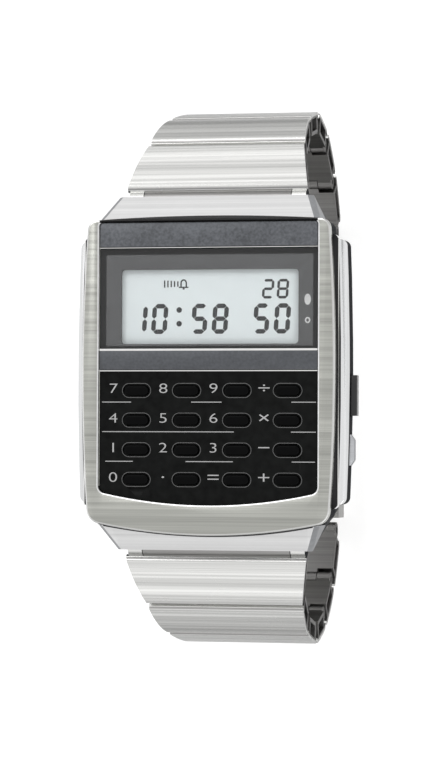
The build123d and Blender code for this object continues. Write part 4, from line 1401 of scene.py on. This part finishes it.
        def shape(mesh: bmesh.types.BMesh) -> None:
            """Adds each outline as a thin prism."""
            for outline in outlines:
                placed = [(origin.x + x * MM, origin.y + y * MM) for x, y in outline]
                prism(mesh, placed, origin.z, origin.z + self.ink_height * MM)

        piece = mesh_from(name, shape, self.finishes.segments)
        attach(piece, self.frame.body("lcd_panel"))
        return piece

    def markers(self) -> bpy.types.Object:
        """The pale oval and ring to the right of the cell, on the surround."""
        centre = self.origin()
        low = self.frame.high("display_surround").z
        high = low + self.ink_height * MM

        def outline(row: float, half: tuple[float, float]) -> Outline:
            """An oval on the surround, in metres."""
            place = (centre.x + self.marker_place * MM, centre.y + row * MM)
            return oval(place, half[0] * MM, half[1] * MM)

        def shape(mesh: bmesh.types.BMesh) -> None:
            """Adds the oval and the ring's short sides."""
            prism(mesh, outline(self.dot_row, self.dot_half), low, high)
            inner = outline(self.ring_row, self.ring_inner)
            outer = outline(self.ring_row, self.ring_outer)
            for step in range(len(inner)):
                following = (step + 1) % len(inner)
                prism(mesh, [outer[step], outer[following], inner[following], inner[step]], low, high)

        piece = mesh_from("surround_markers", shape, self.finishes.ink)
        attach(piece, self.frame.body("display_surround"))
        return piece


class KeyName(Enum):
    """Each key's node and the sign printed beside it."""

    SEVEN = ("key_7", "7")
    EIGHT = ("key_8", "8")
    NINE = ("key_9", "9")
    DIVIDE = ("key_divide", "÷")
    FOUR = ("key_4", "4")
    FIVE = ("key_5", "5")
    SIX = ("key_6", "6")
    TIMES = ("key_times", "×")
    ONE = ("key_1", "1")
    TWO = ("key_2", "2")
    THREE = ("key_3", "3")
    MINUS = ("key_minus", "−")
    ZERO = ("key_0", "0")
    POINT = ("key_point", "·")
    EQUALS = ("key_equals", "=")
    PLUS = ("key_plus", "+")


@dataclass
class Keypad:
    """Keypad plate, key caps, rims, printed numbers and lines."""

    frame: Frame
    finishes: Finishes
    cap_skin: float = 0.015
    cap_foot: float = 0.15
    cap_rim: float = 0.14
    cap_crown: float = 0.03
    key_level: float = 0.1
    columns: int = 4
    rows: int = 4
    rim_margin: float = 0.3
    rim_wire: float = 0.1
    legend_height: float = 1.74
    legend_spread: float = 1.42
    legend_thinning: float = -0.02
    legend_place: float = -2.95
    sign_share: float = 1.25
    legend_lift: float = 0.2
    print_height: float = 0.012
    line_width: float = 0.1
    line_drop: float = 1.43
    line_spans: tuple = (
        ((-13.45, -9.75), (-2.13, 1.7), (10.45, 13.5)),
        ((-13.4, 3.25), (10.4, 13.5)),
        ((-13.0, -9.5), (-2.8, 3.15), (10.5, 13.4)),
    )

    def build(self) -> list[bpy.types.Object]:
        """The dressed pieces."""
        plate = softened_copy(self.frame, "keypad_plate", 0.0)
        dress(plate, self.finishes.keypad)
        return [plate, *self.caps(), self.rims(), self.legends(), self.lines()]

    def caps(self) -> list[bpy.types.Object]:
        """A rounded cap over each key."""
        tree = key_cap_tree()
        base = self.frame.high("keypad_plate").z - self.cap_foot * MM
        pieces = []
        for key in KeyName:
            node = key.value[0]
            dress(self.frame.nodes[node], self.finishes.key)
            low, high = self.key_top(node)
            sizes = {
                "Length": high.x - low.x + 2 * self.cap_skin * MM,
                "Width": high.y - low.y + 2 * self.cap_skin * MM,
                "Height": high.z - base,
                "Rim": self.cap_rim * MM,
                "Crown": self.cap_crown * MM,
            }
            centre = (low + high) / 2
            place = Matrix.Translation((centre.x, centre.y, base))
            piece = tree.piece(f"{node}_cap", sizes, self.finishes.key, place)
            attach(piece, self.frame.body(node))
            pieces.append(piece)
        return pieces

    def key_top(self, node: str) -> tuple[Vector, Vector]:
        """Lowest and highest corners of the part of a key above the plate's print."""
        level = self.frame.high("keypad_plate").z - self.key_level * MM
        corners = [vert.co for vert in self.frame.nodes[node].data.vertices if vert.co.z > level]
        return Vector(map(min, *corners)), Vector(map(max, *corners))

    def rims(self) -> bpy.types.Object:
        """The raised rim round each key's recess, lighter grey than the plate as a painted highlight on the
        recess's edge.
        """
        first, last = self.frame.centre("key_7"), self.frame.centre("key_plus")
        low, high = self.key_top("key_7")
        margin = 2 * self.rim_margin * MM
        sizes = {
            "Columns": self.columns,
            "Rows": self.rows,
            "Column Pitch": (last.x - first.x) / (self.columns - 1),
            "Row Pitch": (first.y - last.y) / (self.rows - 1),
            "Length": high.x - low.x + margin,
            "Width": high.y - low.y + margin,
            "Wire": self.rim_wire * MM,
        }
        middle = (first + last) / 2
        place = Matrix.Translation((middle.x, middle.y, self.frame.high("keypad_plate").z))
        piece = rim_grid_tree().piece("key_rims", sizes, self.finishes.rim, place)
        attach(piece, self.frame.body("keypad_plate"))
        return piece

    def legends(self) -> bpy.types.Object:
        """The plain number or sign to the left of each key, as one mesh."""
        middle_level = self.frame.high("keypad_plate").z + self.print_height * MM / 2
        stretch = Matrix.Diagonal((self.legend_spread, 1.0, 1.0, 1.0))
        joined = bmesh.new()
        for key in KeyName:
            node, sign = key.value
            centre = self.frame.centre(node)
            text = bpy.data.curves.new(f"sign_{node}", "FONT")
            text.body = sign
            text.size = self.legend_height * MM * (1.0 if sign.isdigit() else self.sign_share)
            text.align_x, text.align_y = "CENTER", "CENTER"
            text.extrude = self.print_height * MM / 2
            text.offset = self.legend_thinning * MM
            holder = bpy.data.objects.new(f"sign_{node}", text)
            bpy.context.scene.collection.objects.link(holder)
            mesh = evaluated_mesh(holder)
            place = (centre.x + self.legend_place * MM, centre.y + self.legend_lift * MM, middle_level)
            mesh.transform(Matrix.Translation(place) @ stretch)
            joined.from_mesh(mesh)
        mesh = bpy.data.meshes.new("key_legends")
        joined.to_mesh(mesh)
        joined.free()
        mesh.materials.append(self.finishes.ink)
        for face in mesh.polygons:
            face.material_index = 0
        piece = link_object("key_legends", mesh)
        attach(piece, self.frame.body("keypad_plate"))
        return piece

    def lines(self) -> bpy.types.Object:
        """Thin printed lines between the rows."""
        low = self.frame.high("keypad_plate").z
        high = low + self.print_height * MM
        half = self.line_width * MM / 2
        rows = [self.frame.centre(node).y - self.line_drop * MM for node in ("key_7", "key_4", "key_1")]

        def shape(mesh: bmesh.types.BMesh) -> None:
            """Adds each line as a thin bar."""
            for row, spans in zip(rows, self.line_spans):
                for left, right in spans:
                    prism(mesh, bar(left * MM, right * MM, row - half, row + half), low, high)

        piece = mesh_from("keypad_lines", shape, self.finishes.ink)
        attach(piece, self.frame.body("keypad_plate"))
        return piece


@dataclass
class Pushers:
    """The two buttons in the right side."""

    frame: Frame
    finishes: Finishes
    edge_width: float = 0.08
    end_depth: float = 0.6

    def build(self) -> list[bpy.types.Object]:
        """The dressed pieces."""
        pieces = []
        looks = (
            ("mode_pusher", "pusher_black", self.finishes.pusher),
            ("adjust_pusher", "brushed_steel", self.finishes.facet),
        )
        for node, slot, finish in looks:
            piece = softened_copy(self.frame, node, self.edge_width, self.outside)
            dress(piece, finish)
            pieces.append(piece)
        return pieces

    def outside(self, edge: bmesh.types.BMEdge) -> bool:
        """Whether an edge is on a button's outer end."""
        level = self.frame.high("mid_case").x - self.end_depth * MM
        return all(vert.co.x > level for vert in edge.verts)


@dataclass
class Bracelet:
    """Links of both halves, with a crowned plate over each."""

    frame: Frame
    finishes: Finishes
    links: int = 6
    start: float = 0.14
    first_start: float = 0.3
    stop: float = 0.14
    last_stop: float = 1.0
    outer: float = 1.8
    skin: float = 0.03
    sheet: float = 0.4
    crowns: tuple = (0.52, 0.5, 0.14, 0.14, 0.26, 0.26)
    roll: float = 0.35
    end_half: float = 7.7

    def build(self) -> list[bpy.types.Object]:
        """The crowned plates. The links' own nodes are dressed too, in a darker steel that paints the shade
        inside the folds.
        """
        tree = link_plate_tree()
        pieces = []
        for side in ("upper", "lower"):
            pivots = self.pivots(side)
            halves = [self.frame.high(f"{side}_link_{number + 1}").x for number in range(self.links)]
            halves.append(self.end_half * MM)
            for number, crown in enumerate(self.crowns):
                node = f"{side}_link_{number + 1}"
                # The link bodies take the darker steel copy, which paints the shade inside the folds.
                dress(self.frame.nodes[node], self.finishes.fold)
                ends, sides = pivots[number : number + 2], halves[number : number + 2]
                pieces.append(self.plate(tree, node, ends, sides, crown))
        dress(self.frame.nodes["spring_bars"], self.finishes.spring)
        return pieces

    def pivots(self, side: str) -> list[Vector]:
        """The pivots of one half, from the case to the clasp."""
        joints = [self.frame.pivot(f"{side}_hinge_{number + 1}") for number in range(self.links)]
        clasp = self.frame.pivot("clasp_hinge")
        return [*joints, clasp if side == "upper" else Vector((clasp.x, -clasp.y, clasp.z))]

    def plate(
        self, tree: ShapeTree, node: str, ends: list[Vector], halves: list[float], crown: float
    ) -> bpy.types.Object:
        """The plate of one link.

        Args:
            tree: makes the plate.
            node: the link's node.
            ends: the pivots at both ends of the link.
            halves: the link's half width at each, in metres.
            crown: how far the plate's middle stands out, in millimetres.

        Returns:
            The plate, in place.
        """
        near, far = ends
        along = (far - near).normalized()
        across = Vector((1.0 if far.y + near.y > 0 else -1.0, 0.0, 0.0))
        out = across.cross(along)
        place = Matrix((across, along, out)).transposed().to_4x4()
        place.translation = near
        pitch = (far - near).length
        start = self.first_start if node.endswith("1") else self.start
        stop = self.last_stop if node.endswith(str(self.links)) else self.stop
        sizes = {
            "Near Half Width": halves[0] + self.skin * MM,
            "Far Half Width": halves[1] + self.skin * MM,
            "Start": (start - self.skin) * MM,
            "End": pitch - (stop - self.skin) * MM,
            "Height": (self.outer + self.skin) * MM,
            "Sheet": self.sheet * MM,
            "Crown": crown * MM,
            "Roll": self.roll * MM,
        }
        piece = tree.piece(f"{node}_plate", sizes, self.finishes.link, place)
        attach(piece, self.frame.body(node))
        return piece


@dataclass
class Clasp:
    """Folding clasp under the loop."""

    frame: Frame
    finishes: Finishes
    inner_share: float = 0.9

    def build(self) -> list[bpy.types.Object]:
        """The dressed pieces."""
        pieces = []
        for node in ("clasp_cover", "clasp_outer_blade", "clasp_inner_blade"):
            piece = softened_copy(self.frame, node, 0.0)
            dress(piece, self.finishes.clasp, self.finishes.clasp_inside)
            sort_faces(piece, self.blade_finish)
            pieces.append(piece)
        return pieces

    def blade_finish(self, centre: Vector, normal: Vector) -> bpy.types.Material:
        """A clasp face's finish: blasted on its inner side."""
        return self.finishes.clasp_inside if normal.z > self.inner_share else self.finishes.clasp


@dataclass
class Inside:
    """Everything inside the case, dressed where it lies."""

    frame: Frame
    finishes: Finishes

    def build(self) -> list[bpy.types.Object]:
        """Gives each inner node its material, and returns none."""
        looks = self.finishes
        pairs = {
            looks.rubber: ("case_back_gasket", "pusher_seals", "connector_strips"),
            looks.surround: ("window_gasket",),
            looks.membrane: ("key_membrane",),
            looks.foil: ("lcd_reflector",),
            looks.plastic: ("display_holder", "module_frame"),
            looks.board: ("circuit_board",),
            looks.chip: ("chip_and_quartz",),
            looks.battery: ("battery",),
            looks.spring: ("battery_clip",),
            looks.contact: ("side_contacts",),
            looks.brass: ("buzzer_disc",),
            looks.back: ("case_back",),
            looks.screw: ("case_back_screws",),
        }
        for finish, nodes in pairs.items():
            for node in nodes:
                dress(self.frame.nodes[node], finish)
        return []


@dataclass(frozen=True)
class Lamp:
    """A soft lamp that faces the watch: place and size in metres, power in watts."""

    name: str
    place: tuple[float, float, float]
    size: tuple[float, float]
    power: float

    def build(self) -> None:
        """Hangs the lamp, out of the camera's sight."""
        light = bpy.data.lights.new(self.name, "AREA")
        light.shape = "RECTANGLE"
        light.size, light.size_y = self.size
        light.energy = self.power
        lamp = bpy.data.objects.new(self.name, light)
        bpy.context.scene.collection.objects.link(lamp)
        lamp.location = self.place
        lamp.rotation_euler = (-Vector(self.place)).to_track_quat("-Z", "Y").to_euler()
        lamp.visible_camera = False


@dataclass
class Studio:
    """Floor, light and camera.

    Angles are in degrees. The floor, the cards and the camera's nearest and farthest sight are in metres.
    """

    frame: Frame
    azimuth: float = 12.4
    elevation: float = -1.44
    roll: float = 0.243
    distance: float = 400.0
    aim_depth: float = 5.0
    focal_pixels: float = 3217.3
    centre_x: float = 215.9
    centre_y: float = 373.1
    film_width: float = 36.0
    nearest: float = 0.01
    farthest: float = 20.0
    world_light: float = 0.55
    floor_size: float = 3.0
    floor_levels: tuple = (-0.01, -0.00005)
    floor_shade: float = 0.86
    floor_roughness: float = 0.9
    floor_gloss: float = 0.1
    floor_glow: float = 0.52
    card_near: float = 0.052
    card_far: float = 0.14
    low_card_far: float = 0.2
    card_half: float = 0.3
    card_height: float = 0.001
    card_shade: float = 0.3
    card_glow: float = 0.42
    lamps: tuple = (
        Lamp("key_lamp", (-0.18, 0.36, 0.5), (0.5, 0.3), 0.9),
        Lamp("fill_lamp", (0.3, -0.3, 0.45), (0.4, 0.3), 0.5),
        Lamp("side_lamp", (-0.5, -0.1, 0.25), (0.3, 0.5), 0.25),
    )

    def build(self) -> None:
        """Makes all of it."""
        self.world()
        self.floor()
        self.cards()
        for lamp in self.lamps:
            lamp.build()
        self.camera()

    def seen(self, writer: NodeWriter) -> bpy.types.NodeSocket:
        """1 for a ray that shows the background, straight or through gloss or glass."""
        path = writer.add("ShaderNodeLightPath")
        rays = [path.outputs[name] for name in ("Is Camera Ray", "Is Glossy Ray", "Is Transmission Ray")]
        return writer.math("MAXIMUM", writer.math("MAXIMUM", rays[0], rays[1]), rays[2])

    def world(self) -> None:
        """White to the eye, softer as light."""
        world = bpy.data.worlds.new("studio")
        world.use_nodes = True
        bpy.context.scene.world = world
        writer = NodeWriter(world.node_tree)
        background = next(node for node in world.node_tree.nodes if node.type == "BACKGROUND")
        background.inputs["Color"].default_value = WHITE
        strength = writer.spread(self.seen(writer), 0.0, 1.0, self.world_light, 1.0)
        writer.tree.links.new(strength, background.inputs["Strength"])

    @staticmethod
    def paper(name: str, shade: float, roughness: float) -> tuple[bpy.types.Material, bpy.types.Node]:
        """A matt grey material that can glow white, and its shader."""
        material = bpy.data.materials.new(name)
        material.use_nodes = True
        shader = next(node for node in material.node_tree.nodes if node.type == "BSDF_PRINCIPLED")
        shader.inputs["Base Color"].default_value = (shade, shade, shade, 1.0)
        shader.inputs["Roughness"].default_value = roughness
        shader.inputs["Emission Color"].default_value = WHITE
        return material, shader

    def floor(self) -> None:
        """A pale floor that keeps the watch's shadow."""
        half = self.floor_size / 2
        material, shader = self.paper("floor_paper", self.floor_shade, self.floor_roughness)
        shader.inputs["Specular IOR Level"].default_value = self.floor_gloss
        writer = NodeWriter(material.node_tree)
        glow = writer.times(self.seen(writer), self.floor_glow)
        writer.tree.links.new(glow, shader.inputs["Emission Strength"])

        def shape(mesh: bmesh.types.BMesh) -> None:
            """Adds the floor's slab."""
            prism(mesh, bar(-half, half, -half, half), *self.floor_levels)

        mesh_from("floor", shape, material)

    def cards(self) -> None:
        """Dark cards beyond both ends of the bracelet, which only the metal's reflections show."""
        material, shader = self.paper("dark_card", self.card_shade, 1.0)
        shader.inputs["Emission Strength"].default_value = self.card_glow
        half = self.card_half

        def shape(mesh: bmesh.types.BMesh) -> None:
            """Adds one card on each side."""
            for near, far in ((self.card_near, self.card_far), (-self.low_card_far, -self.card_near)):
                prism(mesh, bar(-half, half, near, far), self.card_height, 2 * self.card_height)

        cards = mesh_from("dark_cards", shape, material)
        cards.visible_camera = cards.visible_diffuse = cards.visible_shadow = False

    def camera(self) -> None:
        """The photograph's view: over the dial, a little from the pusher side."""
        turn, lift, roll = (math.radians(angle) for angle in (self.azimuth, self.elevation, self.roll))
        away = Vector((math.sin(turn) * math.cos(lift), math.sin(lift), math.cos(turn) * math.cos(lift)))
        target = Vector((0.0, 0.0, self.frame.high("face_plate").z - self.aim_depth * MM))
        right = (-away).cross(Vector((0.0, 1.0, 0.0))).normalized()
        up = right.cross(-away).normalized()
        rolled_right = right * math.cos(roll) + up * math.sin(roll)
        rolled_up = up * math.cos(roll) - right * math.sin(roll)
        lens = bpy.data.cameras.new("camera")
        lens.sensor_width = self.film_width
        lens.lens = self.focal_pixels * lens.sensor_width / IMAGE_HEIGHT
        lens.shift_x = (IMAGE_WIDTH / 2 - self.centre_x) / IMAGE_HEIGHT
        lens.shift_y = (self.centre_y - IMAGE_HEIGHT / 2) / IMAGE_HEIGHT
        lens.clip_start, lens.clip_end = self.nearest, self.farthest
        camera = bpy.data.objects.new("camera", lens)
        bpy.context.scene.collection.objects.link(camera)
        camera.matrix_world = Matrix((rolled_right, rolled_up, away)).transposed().to_4x4()
        camera.location = target + away * self.distance * MM
        bpy.context.scene.camera = camera


def clear_scene() -> None:
    """Takes away what Blender starts with."""
    for item in list(bpy.data.objects):
        bpy.data.objects.remove(item)


def main() -> None:
    """Builds the watch's looks in order and writes how large they are."""
    logging.basicConfig(level=logging.INFO, format="%(name)s: %(message)s")
    clear_scene()
    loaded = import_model()
    bpy.context.scene.view_settings.view_transform = "Standard"
    frame = Frame(loaded["nodes"], {joint["name"]: joint for joint in loaded["joints"]})
    finishes = Finishes(frame)
    for assembly in (CaseTop, DialBands, Display, Keypad, Pushers, Bracelet, Clasp, Inside):
        for piece in assembly(frame, finishes).build():
            log.info("%s: %s, %d faces", assembly.__name__, piece.name, len(piece.data.polygons))
    Studio(frame).build()


if __name__ == "__main__":
    main()
